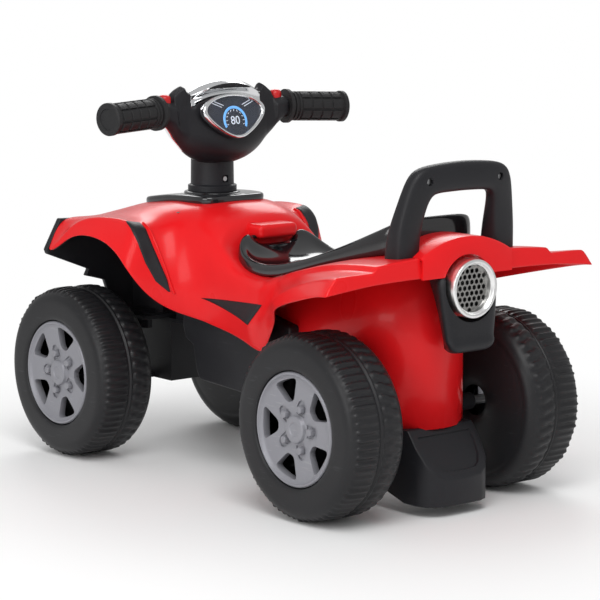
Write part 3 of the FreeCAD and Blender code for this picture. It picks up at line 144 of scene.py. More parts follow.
# %% The quad's plastics
red_gloss = moulded("body_red", (0.76, 0.010, 0.013), (0.70, 0.008, 0.011), (0.80, 0.03, 0.03), (0.26, 0.34),
                    700.0, 0.05, 0.12, Specular_IOR_Level=0.18, Coat_Weight=0.10, Coat_Roughness=0.05)
matt_black = moulded("matt_black", (0.010, 0.010, 0.012), (0.014, 0.014, 0.017), (0.035, 0.035, 0.04),
                     (0.38, 0.50), 1400.0, 0.35, 0.35, Specular_IOR_Level=0.3)
gloss_black = moulded("seat_black", (0.007, 0.007, 0.008), (0.010, 0.010, 0.012), (0.03, 0.03, 0.034),
                      (0.10, 0.16), 500.0, 0.03, 0.3, Coat_Weight=0.5, Coat_Roughness=0.04)
tyre_black = moulded("tyre_black", (0.011, 0.011, 0.012), (0.015, 0.015, 0.017), (0.04, 0.04, 0.045),
                     (0.36, 0.48), 800.0, 0.25, 0.5, Specular_IOR_Level=0.3)
hub_grey = moulded("hub_grey", (0.26, 0.26, 0.285), (0.23, 0.23, 0.255), (0.36, 0.36, 0.38), (0.36, 0.46),
                   1100.0, 0.15, 0.4, Metallic=0.25)
grip_black = moulded("grip_black", (0.012, 0.012, 0.013), (0.017, 0.017, 0.018), (0.04, 0.04, 0.04),
                     (0.46, 0.60), 1800.0, 0.5, 0.3, Specular_IOR_Level=0.3)
button_red = moulded("button_red", (0.62, 0.010, 0.012), (0.52, 0.008, 0.010), (0.7, 0.05, 0.05),
                     (0.26, 0.36), 900.0, 0.05, 0.2)
pale_nylon = moulded("pale_nylon", (0.62, 0.61, 0.57), (0.56, 0.55, 0.51), (0.7, 0.69, 0.66), (0.38, 0.5),
                     1200.0, 0.2, 0.3)
board_green = moulded("board_green", (0.01, 0.10, 0.03), (0.015, 0.13, 0.04), (0.3, 0.25, 0.1), (0.3, 0.4),
                      600.0, 0.1, 0.5)
print("plastics from", red_gloss.name, "to", board_green.name)

# %% [markdown]
# The bright parts are vacuum-metallised plastic and plain steel. Both are metals to the shader. What
# tells them apart is gloss: metallised chrome is nearly a mirror with faint waves, the steel is brushed
# and duller, and the exhaust mesh is a darker satin. The same two groups give them their drift and
# scuffs.

# %% The quad's metals
chrome = moulded("bright_chrome", (0.80, 0.81, 0.82), (0.74, 0.75, 0.77), (0.6, 0.6, 0.6), (0.05, 0.10),
                 300.0, 0.02, 0.2, Metallic=1.0)
steel = moulded("brushed_steel", (0.52, 0.52, 0.53), (0.45, 0.45, 0.46), (0.65, 0.65, 0.65), (0.28, 0.40),
                1500.0, 0.12, 0.6, Metallic=1.0)
mesh_metal = moulded("exhaust_mesh", (0.34, 0.33, 0.32), (0.27, 0.27, 0.26), (0.5, 0.5, 0.5), (0.25, 0.36),
                     900.0, 0.08, 0.4, Metallic=1.0)
cell_wrap = moulded("cell_wrap", (0.05, 0.12, 0.30), (0.04, 0.10, 0.26), (0.3, 0.3, 0.3), (0.25, 0.35),
                    500.0, 0.05, 0.3, Metallic=0.4)
print("metals:", [finish.name for finish in (chrome, steel, mesh_metal, cell_wrap)])

# %% [markdown]
# The dial is a printed card behind a clear window. The card is a deep blue-black that drifts a little, as
# a print does. The window is clear acrylic: it lets light through, so its metallic and transmission stay
# plain numbers, and only its roughness drifts.

# %% The dial card and its window
dial_ink = moulded("dial_ink", (0.006, 0.009, 0.020), (0.010, 0.016, 0.034), (0.02, 0.03, 0.05), (0.3, 0.4),
                   900.0, 0.03, 0.2)
window_clear = moulded("window_clear", (0.95, 0.97, 1.0), (0.98, 0.98, 1.0), (1.0, 1.0, 1.0), (0.0, 0.03),
                       300.0, 0.01, 0.0, Transmission_Weight=1.0, IOR=1.2)
print("dial finishes:", dial_ink.name, window_clear.name)

# %% [markdown]
# Each CAD node now gets the finish of its real material. The record of the part names a slot for every
# node, so one table from slot to finish dresses all of them at once and misses none.

# %% Dress every CAD node by its slot
SLOT_FINISH = {
    "red_plastic": red_gloss, "black_plastic": matt_black, "black_gloss": gloss_black,
    "white_plastic": pale_nylon, "tyre_plastic": tyre_black, "rim_grey": hub_grey, "chrome": chrome,
    "dark_mesh": mesh_metal, "steel": steel, "display": dial_ink, "clear_lens": window_clear,
    "grip_rubber": grip_black, "battery_can": cell_wrap, "board_green": board_green,
    "red_button": button_red}
slot_of = {entry["node"]: entry["material_slot"] for entry in frame["record"]["subparts"]}
for label, part in nodes.items():
    part.data.materials.clear()
    part.data.materials.append(SLOT_FINISH[slot_of[label]])
print("dressed:", len(slot_of), "nodes with", len(SLOT_FINISH), "finishes")

# %% [markdown]
# The red body is one big blow-moulded skin: the tank, the front fenders, the side panels and the rear
# wings. It could be sculpted, but a moulding like this is drawn as sections, so it is built that way: a
# few points across the nose are joined, extruded from section to section towards the tail, mirrored, and
# rounded by a subdivision surface. A crease keeps the character line of the fenders, which subdivision
# alone would melt away.

# %% Helpers: rows of points that become a surface
def pairs(line, closed=False):
    """Neighbours along a line of vertices; a closed line also joins its end to its start."""
    return list(zip(line, line[1:] + line[:1] if closed else line[1:]))


def only_verts(items):
    return [item for item in items if isinstance(item, bmesh.types.BMVert)]


def loft(bm, rows, closed=False):
    """Joins the first row of points and extrudes it from row to row; gives the lines of vertices."""
    line = [bm.verts.new(Vector(point) * MM) for point in rows[0]]
    for pair in pairs(line, closed):
        bm.edges.new(pair)
    lines = [line]
    for points in rows[1:]:
        edges = [bm.edges.get(pair) for pair in pairs(line, closed)]
        fresh = only_verts(bmesh.ops.extrude_edge_only(bm, edges=edges)["geom"])
        line = [min(fresh, key=lambda v: (v.co - old.co).length_squared) for old in line]
        for vertex, point in zip(line, points):
            vertex.co = Vector(point) * MM
        lines.append(line)
    return lines


# %% Helpers: halves and sheets
def mirror_halves(bm):
    """Adds the other half across the middle plane and makes the faces agree."""
    bmesh.ops.mirror(bm, geom=bm.verts[:] + bm.edges[:] + bm.faces[:], axis="Y", merge_dist=0.0001)
    bmesh.ops.remove_doubles(bm, verts=bm.verts, dist=0.00005)
    bmesh.ops.recalc_face_normals(bm, faces=bm.faces)


def face_out(bm, way):
    """Turns the faces of an open sheet to one side."""
    bmesh.ops.recalc_face_normals(bm, faces=bm.faces)
    if sum(face.normal.dot(way) * face.calc_area() for face in bm.faces) < 0:
        bmesh.ops.reverse_faces(bm, faces=bm.faces)


# %% Helper: a piece from a bmesh
def make_piece(name, bm, finish, body, slot, *stands_for):
    """Links a bmesh as a piece that rides on a body and stands for CAD nodes."""
    mesh = bpy.data.meshes.new(name)
    bm.to_mesh(mesh)
    bm.free()
    mesh.shade_smooth()
    mesh.materials.append(finish)
    piece = bpy.data.objects.new(name, mesh)
    scene.collection.objects.link(piece)
    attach(piece, body)
    if stands_for:
        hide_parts(*stands_for)
    return piece


# %% Helpers: a wall, rounding, and a mesh of its own
def settle(piece):
    """Applies the piece's modifiers, so that its final mesh is its own."""
    bpy.context.view_layer.update()
    finished = bpy.data.meshes.new_from_object(piece.evaluated_get(bpy.context.evaluated_depsgraph_get()))
    piece.modifiers.clear()
    piece.data = finished
    return piece


def thicken(piece, wall):
    layer = piece.modifiers.new("wall", "SOLIDIFY")
    layer.thickness = wall * MM
    layer.offset = -1.0
    layer.use_even_offset = True


def soften(piece, levels):
    layer = piece.modifiers.new("round", "SUBSURF")
    layer.levels = levels
    layer.render_levels = levels


# %% Sections of the red skin
# Each section: distance along the quad, then (width, height) from the lower edge of one side to the middle.
RED_SECTIONS = [
    (236, [(144, 226.5), (141, 232), (126.5, 263), (98, 262), (72, 261.5), (46, 267), (0, 268)]),
    (222, [(143, 231), (141.5, 236), (122, 265), (96, 263), (72, 264), (47, 270.5), (0, 272)]),
    (205, [(140.5, 242), (139, 252), (117, 267), (93, 265.5), (72, 267), (48, 275), (0, 277)]),
    (188, [(141, 248), (134, 265.5), (111, 268.5), (90, 267.5), (71, 270.5), (48, 279), (0, 281)]),
    (163, [(141, 251), (128, 270.5), (106, 268.5), (88, 270), (71, 275), (48, 282), (0, 284)]),
    (130, [(141, 246), (124, 271.5), (104, 268.5), (88, 271), (71, 278.5), (48, 286), (0, 288)]),
    (108, [(141, 233), (126, 270), (104, 266.5), (88, 269.5), (72, 278), (48, 286), (0, 288)]),
    (98, [(141, 224), (127, 262), (103, 262), (88, 266.5), (71.5, 277), (47, 286), (0, 288)]),
    (90, [(138, 215), (128, 249), (102, 255), (87, 263), (71, 276), (47, 286), (0, 288)]),
    (84, [(126, 196.5), (122, 236), (100, 247), (86, 258.5), (71, 275), (46, 286), (0, 287.5)]),
    (77, [(110, 181), (113, 219), (96, 237), (84, 253), (70.5, 273.5), (46, 285.5), (0, 287)]),
    (68, [(94, 171.5), (102, 203), (90, 226), (81.5, 247), (70, 271.5), (45, 284), (0, 286)]),
    (56, [(84, 167), (88.5, 195), (83.5, 221), (78, 243.5), (69, 268.5), (44, 281), (0, 283)]),
    (40, [(79, 163.5), (80, 196), (77.5, 226), (73, 246), (66, 262), (42, 275), (0, 277)]),
    (27, [(78, 161), (79, 198), (76, 231), (70.5, 242.5), (65, 254), (41, 268), (0, 270)]),
    (22, [(78, 160), (79, 197), (76, 229), (70.5, 239.5), (65, 250), (44, 239), (0, 236)]),
    (8, [(78.5, 158.5), (79, 194), (76, 222), (71.5, 230.5), (67, 239), (48, 231), (0, 229)]),
    (-15, [(80.5, 155.5), (82, 190), (78, 217), (73, 220.5), (68, 224), (40, 224), (0, 224)]),
    (-42, [(86, 152), (88, 176), (82, 209), (77, 216), (71, 221), (40, 222), (0, 222)]),
    (-54, [(88, 149), (91, 174), (85, 207), (79, 215), (72, 221), (40, 222), (0, 222)]),
    (-66, [(89, 146), (92, 176), (86, 208), (80, 216), (72, 222), (40, 223), (0, 223)]),
    (-76, [(90, 146), (94, 180), (87, 214), (80, 221), (72, 225), (40, 226), (0, 226)]),
    (-86, [(92, 156), (97, 186), (87, 219), (80, 224.5), (72, 227.5), (40, 228), (0, 228)]),
    (-100, [(97, 172), (101, 196), (88, 225), (81, 229), (72, 231), (40, 232), (0, 232)]),
    (-115, [(105, 187), (110, 206), (92, 229), (84, 234), (72, 236), (40, 236), (0, 236)]),
    (-130, [(122, 201), (117, 213), (98, 230), (91, 236), (73, 240), (40, 240), (0, 240)]),
    (-175, [(144, 214), (136, 229), (108, 242.5), (102, 248.5), (74, 251), (40, 251), (0, 251)]),
    (-225, [(163, 226), (152, 243), (116, 251), (110, 257), (76, 261), (40, 261), (0, 261)]),
    (-268, [(180, 236), (164, 252.5), (119, 254), (114, 260), (78, 263), (40, 264), (0, 264)]),
    (-284, [(183, 237.5), (167, 254), (120, 254.3), (115, 260.3), (78, 263.5), (40, 264.5), (0, 265)]),
]
TAIL_WALL = (-286, [(182, 237), (170, 238.5), (134, 242), (118, 243), (78, 244), (40, 243.5), (0, 243)])
# Character lines that stay crisp: point of the section, first and last section, hardness.
CREASES = [(1, 0, 10, 0.6), (1, 18, -1, 0.7), (2, 23, -1, 0.6), (3, 23, -1, 0.75)]
UP = Vector((0, 0, 1))
print("red skin:", len(RED_SECTIONS), "sections and a tail wall")

# %% Red skin
bm = bmesh.new()
lines = loft(bm, [[(x, y, z) for y, z in half] for x, half in RED_SECTIONS + [TAIL_WALL]])
crease = bm.edges.layers.float.new("crease_edge")
for point, first, last, hard in CREASES:
    for before, after in pairs(lines[first:last]):
        bm.edges.get((before[point], after[point]))[crease] = hard
for line, hard in ((lines[-2], 0.85), (lines[0], 0.9), (lines[-1], 0.9)):
    for pair in pairs(line):
        bm.edges.get(pair)[crease] = hard
mirror_halves(bm)
face_out(bm, UP)
red_skin = make_piece("red_skin", bm, red_gloss, "chassis", "red_plastic", "body_shell")
thicken(red_skin, 3.0)
soften(red_skin, 3)
settle(red_skin)
print("red skin:", len(red_skin.data.polygons), "faces")

# %% [markdown]
# The lid of the seat covers a bin, so the deck under it is open, and the steering rod needs a hole in the
# tank. The opening is cut with an upright prism: a flat outline is extruded and taken away from the skin.
# The hole, and the round exit of the exhaust in the tail, are cut with cylinders.

# %% Helpers: an upright prism and a cylinder as cutters
def extruded(points, pull):
    """A face through points, extruded by a vector."""
    block = bmesh.new()
    base = block.faces.new([block.verts.new(Vector(point) * MM) for point in points])
    grown = bmesh.ops.extrude_face_region(block, geom=[base])["geom"]
    bmesh.ops.translate(block, vec=Vector(pull) * MM, verts=only_verts(grown))
    bmesh.ops.recalc_face_normals(block, faces=block.faces)
    return block


def upright_prism(points, low, high):
    return extruded([(x, y, low) for x, y in points], (0, 0, high - low))


def both_halves(half):
    """A half outline of (place, width) and its mirror image, as one closed outline."""
    return half + [(x, -y) for x, y in reversed(half) if y]


def cylinder(middle, radius, length, turn, segments=48):
    bar = bmesh.new()
    bmesh.ops.create_cone(bar, cap_ends=True, segments=segments, radius1=radius * MM, radius2=radius * MM,
                          depth=length * MM, matrix=Matrix.Translation(Vector(middle) * MM) @ turn)
    return bar


ALONG = Matrix.Rotation(math.radians(90), 4, "Y")
ACROSS = Matrix.Rotation(math.radians(90), 4, "X")
UPRIGHT = Matrix.Identity(4)

# %% Helpers: cutting, and crisp edges
def carve(piece, cutter):
    """Cuts the shape of a bmesh out of a piece."""
    mesh = bpy.data.meshes.new("cutter")
    cutter.to_mesh(mesh)
    cutter.free()
    tool = bpy.data.objects.new("cutter", mesh)
    scene.collection.objects.link(tool)
    cut = piece.modifiers.new("cut", "BOOLEAN")
    cut.object = tool
    cut.solver = "EXACT"
    settle(piece)
    bpy.data.objects.remove(tool)
    bpy.data.meshes.remove(mesh)


def crisp(piece, degrees):
    """Smooth shading with a sharp edge wherever two faces meet at more than an angle."""
    piece.data.shade_smooth()
    piece.data.set_sharp_from_angle(angle=math.radians(degrees))


# %% Openings in the red skin
DECK_OPENING = [(2, 22), (-8, 40), (-30, 48), (-200, 48), (-230, 40)]
DECK_LOW, DECK_HIGH = 190, 330
COLUMN_X, COLUMN_HOLE = 122, 11
EXHAUST_Z, EXHAUST_HOLE = 230, 33.5
TAIL_CUT_X, TAIL_CUT = -282, 26
carve(red_skin, upright_prism(both_halves(DECK_OPENING), DECK_LOW, DECK_HIGH))
carve(red_skin, cylinder((COLUMN_X, 0, 280), COLUMN_HOLE, 60, UPRIGHT))
carve(red_skin, cylinder((TAIL_CUT_X, 0, EXHAUST_Z), EXHAUST_HOLE, TAIL_CUT, ALONG))
red_skin.data.shade_smooth()
print("red skin after the cuts:", len(red_skin.data.polygons), "faces")

# %% [markdown]
# Below the deck hangs a red box with a half-round back. It is the seat's storage and the support of the
# tail. Its outline is joined as a line, pulled up to the underside of the deck, and mirrored.

# %% Box under the deck
DECK = [(-55, 222), (-90, 229), (-130, 240), (-175, 251), (-225, 261), (-277, 265)]
BOX_HALF = 60
BOX_BOTTOM = 84
BOX_WAIST = 180
BOX_ROUND_X = -195.5


def along(table, x):
    """Height at a distance, read from a table of (distance, height) that runs to the back."""
    for (x0, z0), (x1, z1) in pairs(table):
        if x >= x1:
            return z0 + (z1 - z0) * (x0 - x) / (x0 - x1)
    return table[-1][1]


outline = [(x, BOX_HALF) for x in (-55, -90, -130, -165)]
for step in range(9):
    angle = math.radians(90 * step / 8)
    outline.append((BOX_ROUND_X - BOX_HALF * math.sin(angle), BOX_HALF * math.cos(angle)))
bm = bmesh.new()
loft(bm, [[(x, y, BOX_BOTTOM) for x, y in outline], [(x, y, BOX_WAIST) for x, y in outline],
          [(x, y, along(DECK, x) - 2.5) for x, y in outline]])
mirror_halves(bm)
red_box = make_piece("red_box", bm, red_gloss, "chassis", "red_plastic")
thicken(red_box, 3.0)
settle(red_box)
print("box:", len(red_box.data.polygons), "faces")

# %% [markdown]
# The tail rises into a low crowned hump that carries the push handle. Its arc is a line of points,
# extruded backwards, drawn in a little for a rounded edge, and folded down into the panel around the
# exhaust.

# %% Crowned hump and tail panel
HUMP_HALF = 62
HUMP_BASE = 264
HUMP_RISE = 17.5
HUMP_BACK = -288.5
PANEL_LOW = 242.5
crown_radius = (HUMP_HALF ** 2 + HUMP_RISE ** 2) / (2 * HUMP_RISE)
crown_middle = HUMP_BASE + HUMP_RISE - crown_radius
crown_reach = math.asin(HUMP_HALF / crown_radius)


def crown(x, shrink):
    """Points of the hump's arc from one side to the middle, at a place along the quad."""
    turns = [crown_reach * (1 - step / 10) for step in range(11)]
    arc = crown_radius - shrink
    return [(x, arc * math.sin(turn), crown_middle + arc * math.cos(turn)) for turn in turns]


bm = bmesh.new()
loft(bm, [crown(-246, 0), crown(-283, 0), crown(-286.5, 0.6), crown(HUMP_BACK, 3),
          [(HUMP_BACK, y, PANEL_LOW) for _, y, _ in crown(0, 3)]])
mirror_halves(bm)
tail_hump = make_piece("tail_hump", bm, red_gloss, "chassis", "red_plastic")
thicken(tail_hump, 2.5)
settle(tail_hump)
carve(tail_hump, cylinder((TAIL_CUT_X, 0, EXHAUST_Z), EXHAUST_HOLE, TAIL_CUT, ALONG))
crisp(tail_hump, 40)
print("hump:", len(tail_hump.data.polygons), "faces")

# %% [markdown]
# A small rounded block stands over the nose of the seat, where the tank ends. It is a box with bevelled
# edges.

# %% Rounded block over the nose of the seat
BLOCK_LOW, BLOCK_HIGH = Vector((4, -26, 252)) * MM, Vector((40, 26, 267)) * MM
bm = bmesh.new()
size = Matrix.Diagonal((*(BLOCK_HIGH - BLOCK_LOW), 1.0))
bmesh.ops.create_cube(bm, size=1.0, matrix=Matrix.Translation((BLOCK_LOW + BLOCK_HIGH) / 2) @ size)
bmesh.ops.bevel(bm, geom=bm.edges[:], offset=5 * MM, segments=5, profile=0.5, affect="EDGES", material=-1)
tank_block = make_piece("tank_block", bm, red_gloss, "chassis", "red_plastic")
print("block:", len(tank_block.data.polygons), "faces")

# %% [markdown]
# The seat is one glossy shell. A rolled rim runs all round it, low at the sides, climbing at the nose
# along the tank and at the back into a small backrest. It is drawn as a ribbon: the outer edge of one
# half is a line of stations from nose to back, and each following line lies further in: over the rim,
# down into the dish, and on to the middle.

# %% Seat: stations round one half
# Each station: outer edge (x, y), then height of the lower edge, of the rim and of the dish inside it.
SEAT_STATIONS = [
    (20, 0, 239, 246, 244), (20, 14, 239, 246, 244), (20, 26, 238.5, 247.5, 245),
    (19, 34, 238.5, 259.5, 250), (15, 46, 234, 257, 247), (8, 55, 231.5, 250, 242),
    (-4, 61, 227.6, 242, 235), (-22, 65, 222.2, 235.5, 230),
    (-50, 66, 219.2, 233, 227.5), (-90, 66, 227.6, 240, 234), (-130, 65.5, 239.6, 251.5, 244.5),
    (-175, 64.5, 250.4, 267, 257), (-215, 62, 258.2, 283, 270), (-237, 55, 261.6, 293, 279),
    (-245, 42, 262.8, 297, 286), (-246, 24, 263.2, 298, 289), (-246, 0, 263.2, 298, 290)]
SEAT_MIDDLE = [
    (14, 243), (8, 240.2), (2, 238), (-4, 236), (-10, 234), (-16, 232), (-24, 230), (-36, 228), (-54, 227),
    (-90, 233), (-128, 243), (-168, 254), (-196, 263), (-210, 269), (-220, 276), (-227, 281), (-232, 285)]
outer = [Vector((x, y, 0)) for x, y, *_ in SEAT_STATIONS]
ends = [Vector((20, -14, 0)), Vector((-246, -24, 0))]
inward = []
for before, after in zip(ends[:1] + outer, outer[1:] + ends[1:]):
    run = (after - before).normalized()
    inward.append(Vector((-run.y, run.x, 0)))
print("seat:", len(SEAT_STATIONS), "stations")


# %% Seat: ribbon from the outer edge to the middle
def seat_line(offset, height):
    """Points of one line of the ribbon: an offset inwards, and a height from (lower edge, rim, dish)."""
    line = []
    for spot, way, (_, _, low, rim, dish) in zip(outer, inward, SEAT_STATIONS):
        place = spot + way * offset
        line.append((place.x, max(place.y, 0.0), height(low, rim, dish)))
    return line


dish_line = seat_line(13.0, lambda low, rim, dish: dish + 0.5)
spine = [(x, 0.0, z) for x, z in SEAT_MIDDLE]
half_way = [tuple(0.55 * a + 0.45 * b for a, b in zip(p, q)) for p, q in zip(dish_line, spine)]
bm = bmesh.new()
loft(bm, [seat_line(1.0, lambda low, rim, dish: low),
          seat_line(0.0, lambda low, rim, dish: low + 0.35 * (rim - low)),
          seat_line(0.6, lambda low, rim, dish: rim - 2.5),
          seat_line(4.0, lambda low, rim, dish: rim),
          seat_line(8.5, lambda low, rim, dish: rim - 1.2),
          dish_line, half_way, spine])
mirror_halves(bm)
face_out(bm, UP)
seat_shell = make_piece("seat_shell", bm, gloss_black, "seat_lid", "black_gloss", "seat")
thicken(seat_shell, 2.5)
soften(seat_shell, 2)
settle(seat_shell)
print("seat:", len(seat_shell.data.polygons), "faces")

# %% [markdown]
# The seat turns on two short pegs that stand in the red skin, one on each side of its nose. They are
# plain bars.

# %% Hinge pegs of the seat
PEG_R, PEG_LENGTH = 2, 15
PEG_X, PEG_Y, PEG_Z = 15, 29, 254
bm = bmesh.new()
for _, side in SIDES:
    place = Matrix.Translation(Vector((PEG_X, side * PEG_Y, PEG_Z)) * MM)
    bmesh.ops.create_cone(bm, cap_ends=True, segments=24, radius1=PEG_R * MM, radius2=PEG_R * MM,
                          depth=PEG_LENGTH * MM, matrix=place @ ACROSS)
hinge_pegs = make_piece("hinge_pegs", bm, matt_black, "chassis", "steel", "seat_hinge_pins")
print("hinge pegs:", len(hinge_pegs.data.polygons), "faces")

# %% [markdown]
# Under each front fender lies a black liner that keeps spray out of the body. It follows the red skin a
# few millimetres below it, so its rows are the outer part of the same sections, moved in and down. The
# chassis tray of the CAD carries a simpler liner of its own; a copy of the tray loses it here, so that
# nothing pokes through the softer skin.

# %% Fender liners
LINER_SECTIONS, LINER_POINTS = 12, 5
rows = []
for x, half in RED_SECTIONS[:LINER_SECTIONS]:
    (edge_y, edge_z), *inner = half[:LINER_POINTS]
    rows.append([(x, edge_y - 4, edge_z + 1)] + [(x, y - 3.5, z - 5) for y, z in inner])
bm = bmesh.new()
loft(bm, rows)
mirror_halves(bm)
fender_liner = make_piece("fender_liner", bm, matt_black, "chassis", "black_plastic")
thicken(fender_liner, 1.2)
soften(fender_liner, 2)
settle(fender_liner)
print("liner:", len(fender_liner.data.polygons), "faces")

# %% Chassis tray without its liner
LINER_BACK, LINER_FRONT, LINER_LOW = 58, 245, 196
LINER_INSIDE, LINER_OUTSIDE = 70, 160
bm = bmesh.new()
bm.from_mesh(nodes["chassis_pan"].data)
bmesh.ops.remove_doubles(bm, verts=bm.verts, dist=0.00001)
chassis_tray = make_piece("chassis_tray", bm, matt_black, "chassis", "black_plastic", "chassis_pan")
for _, side in SIDES:
    near, far = side * LINER_INSIDE, side * LINER_OUTSIDE
    plan = [(LINER_BACK, near), (LINER_FRONT, near), (LINER_FRONT, far), (LINER_BACK, far)]
    carve(chassis_tray, upright_prism(plan, LINER_LOW, 300))
chassis_tray.data.shade_flat()
print("tray:", len(chassis_tray.data.polygons), "faces")

# %% [markdown]
# Two black mouldings close the body below the red skin. The front panel is a shield with level slots
# between the fenders. The skirt is a tub between the wheels that hides the steering. Each is a flat
# outline that is pulled to its thickness and gets bevelled edges. The slots are cut with four bars.

# %% Front panel
PANEL_HALF = [(40, 263.5), (72, 259), (126, 261.5), (145, 228), (143, 223), (88, 201.5), (92, 194),
              (80, 191), (66, 187), (58, 165), (50, 140)]
PANEL_BACK, PANEL_WALL = 236.5, 7
SLOTS, SLOT_TOP, SLOT_STEP = 4, 246, 15
SLOT_LENGTH, SLOT_SHORTER, SLOT_OPEN = 104, 12, 7


def pulled(points, pull, rounding):
    """A face through points, extruded by a vector, with rounded edges."""
    moulding = extruded(points, pull)
    bmesh.ops.bevel(moulding, geom=moulding.edges[:], offset=rounding * MM, segments=3, profile=0.5,
                    affect="EDGES", material=-1)
    return moulding


outline = PANEL_HALF + [(-y, z) for y, z in reversed(PANEL_HALF)]
bm = pulled([(PANEL_BACK, y, z) for y, z in outline], (PANEL_WALL, 0, 0), 1.5)
front_panel = make_piece("front_panel", bm, matt_black, "chassis", "black_plastic", "front_grille")
slots = bmesh.new()
for level in range(SLOTS):
    length = SLOT_LENGTH - SLOT_SHORTER * level
    size = Matrix.Diagonal((20 * MM, length * MM, SLOT_OPEN * MM, 1.0))
    middle = Vector((247, 0, SLOT_TOP - SLOT_STEP * level)) * MM
    bmesh.ops.create_cube(slots, size=1.0, matrix=Matrix.Translation(middle) @ size)
carve(front_panel, slots)
crisp(front_panel, 35)
print("front panel:", len(front_panel.data.polygons), "faces")

# %% Skirt between the wheels
SKIRT = [(82, 170), (84, 154), (79, 141), (66, 135), (60, 107), (54, 98), (-20, 94), (-80, 94), (-100, 104),
         (-100, 175), (-20, 190)]
SKIRT_HALF = 72
bm = pulled([(x, -SKIRT_HALF, z) for x, z in SKIRT], (0, 2 * SKIRT_HALF, 0), 3)
side_skirt = make_piece("side_skirt", bm, matt_black, "chassis", "black_plastic")
crisp(side_skirt, 35)
print("skirt:", len(side_skirt.data.polygons), "faces")

# %% [markdown]
# The dash plate is a thin glossy lid on the tank. It follows the tank: level round the steering column
# and falling to the front. Its outline is a line of points for one half; the line is drawn in for a
# rounded edge and closed to the middle. A low round boss stands on it, under the flange of the steering
# neck.

# %% Dash plate
PLATE_HALF = [(74, 0), (74, 22), (76, 34), (81, 41), (90, 45), (106, 46.5), (140, 46.5), (182, 45),
              (194, 40), (204, 24), (207, 0)]
PLATE_TOP = [(207, 281), (190, 284.5), (140, 291.5), (130, 292.5), (70, 292.5)]
PLATE_MIDDLE, PLATE_REACH, PLATE_WIDTH = 140, 66, 45
# Drawn in and lowered, from the lower edge over the rounded edge to the flat of the lid.
PLATE_EDGE = [(0.5, 9), (0, 6), (0, 2.5), (0.6, 1.0), (2.0, 0), (6, 0)]


def plate_line(inset, drop):
    """Points of the plate's outline, drawn in by an inset and lowered from the top by a drop."""
    line = []
    for x, y in PLATE_HALF:
        place_x = PLATE_MIDDLE + (x - PLATE_MIDDLE) * (1 - inset / PLATE_REACH)
        line.append((place_x, y * (1 - inset / PLATE_WIDTH), along(PLATE_TOP, place_x) - drop))
    return line


rows = [plate_line(*edge) for edge in PLATE_EDGE]
half_way = [(x, y * 0.5, z + 0.4) for x, y, z in rows[-1]]
spine = [(x, 0.0, z) for x, _, z in rows[-1]]
bm = bmesh.new()
loft(bm, rows + [half_way, spine])
mirror_halves(bm)
face_out(bm, UP)
dash_lid = make_piece("dash_lid", bm, gloss_black, "chassis", "black_gloss", "dash_plate")
soften(dash_lid, 2)
settle(dash_lid)
print("dash lid:", len(dash_lid.data.polygons), "faces")


# %% Boss under the flange
def spun(points, centre, axis, steps):
    """A line of points spun all the way round an axis."""
    turned = bmesh.new()
    line = loft(turned, [points])[0]
    edges = [turned.edges.get(pair) for pair in pairs(line)]
    bmesh.ops.spin(turned, geom=line + edges, cent=Vector(centre) * MM, axis=axis, angle=math.tau,
                   steps=steps, use_merge=True)
    bmesh.ops.remove_doubles(turned, verts=turned.verts, dist=0.00002)
    bmesh.ops.recalc_face_normals(turned, faces=turned.faces)
    return turned


def spun_up(outline, x, y, steps):
    """An outline of (radius, height) spun round an upright axis."""
    return spun([(x + radius, y, height) for radius, height in outline], (x, y, 0), UP, steps)


BOSS_OUTLINE = [(31.5, 288), (31.5, 292.6), (30.6, 293.6), (29, 294), (14, 294), (12.5, 293), (12.5, 288),
                (31.5, 288)]
bm = spun_up(BOSS_OUTLINE, COLUMN_X, 0, 64)
dash_boss = make_piece("dash_boss", bm, gloss_black, "chassis", "black_gloss")
crisp(dash_boss, 50)
print("boss:", len(dash_boss.data.polygons), "faces")

# %% [markdown]
# The wheels are blow-moulded: a hollow black tyre with a press-in grey cover. The tyre's outline is
# joined as a line of points and spun round the axle. Its tread is then raised from the spun faces: fine
# ribs on the outer half and staggered blocks on the inner half, inset from the surface so that each has
# sloped sides, as a mould needs them.

# %% Tyre: outline and tread
WHEEL_R = 94.5
OUTER_FACE = 156.5
AXLE_X = 205.5
AXLES = (("front", AXLE_X), ("rear", -AXLE_X))
WHEELS = [(end, hand, middle_x, side) for end, middle_x in AXLES for hand, side in SIDES]
TYRE_STEPS = 144
# Radius and depth behind the outer face, from the seat of the cover round the tread to the hub inside.
TYRE_OUTLINE = [
    (58, 13), (58, 1.2), (60, 0), (69, 0), (78, 0), (82.5, 0.4), (86.5, 2.2), (89.4, 5.6), (91, 10.5),
    (91.8, 17), (91.8, 34), (90.6, 35), (91.0, 36.2), (92.6, 37), (92.6, 38.5), (91.0, 39.2), (91.8, 40.5),
    (91.8, 51),
    (91.2, 61), (88.6, 66.5), (84.5, 70), (79, 72), (76, 70.6), (73, 72.2), (50, 72.4), (22, 72.4), (16, 66)]
SHOULDER_R, TREAD_R = 84, 89
RIB_BANDS = (7, 8, 9)
BLOCK_BANDS = (16, 17)
RIB_HEIGHTS = (2.4, 1.5, 2.0, 2.6, 1.3)
RIB_SCATTER = 7
BLOCK_HEIGHT = 2.2
RIB_SLOPE, BLOCK_SLOPE = 0.4, 0.5
print("tyre outline:", len(TYRE_OUTLINE), "points")


# %% Helpers: a spun wheel, and the place of a face on it
def spun_wheel(outline, middle_x, side, steps):
    """An outline of (radius, depth) spun round a wheel's axle, and the middle of its outer face."""
    centre = (middle_x, side * OUTER_FACE, WHEEL_R)
    points = [(middle_x, side * (OUTER_FACE - depth), WHEEL_R + radius) for radius, depth in outline]
    return spun(points, centre, (0, 1, 0), steps), Vector(centre) * MM


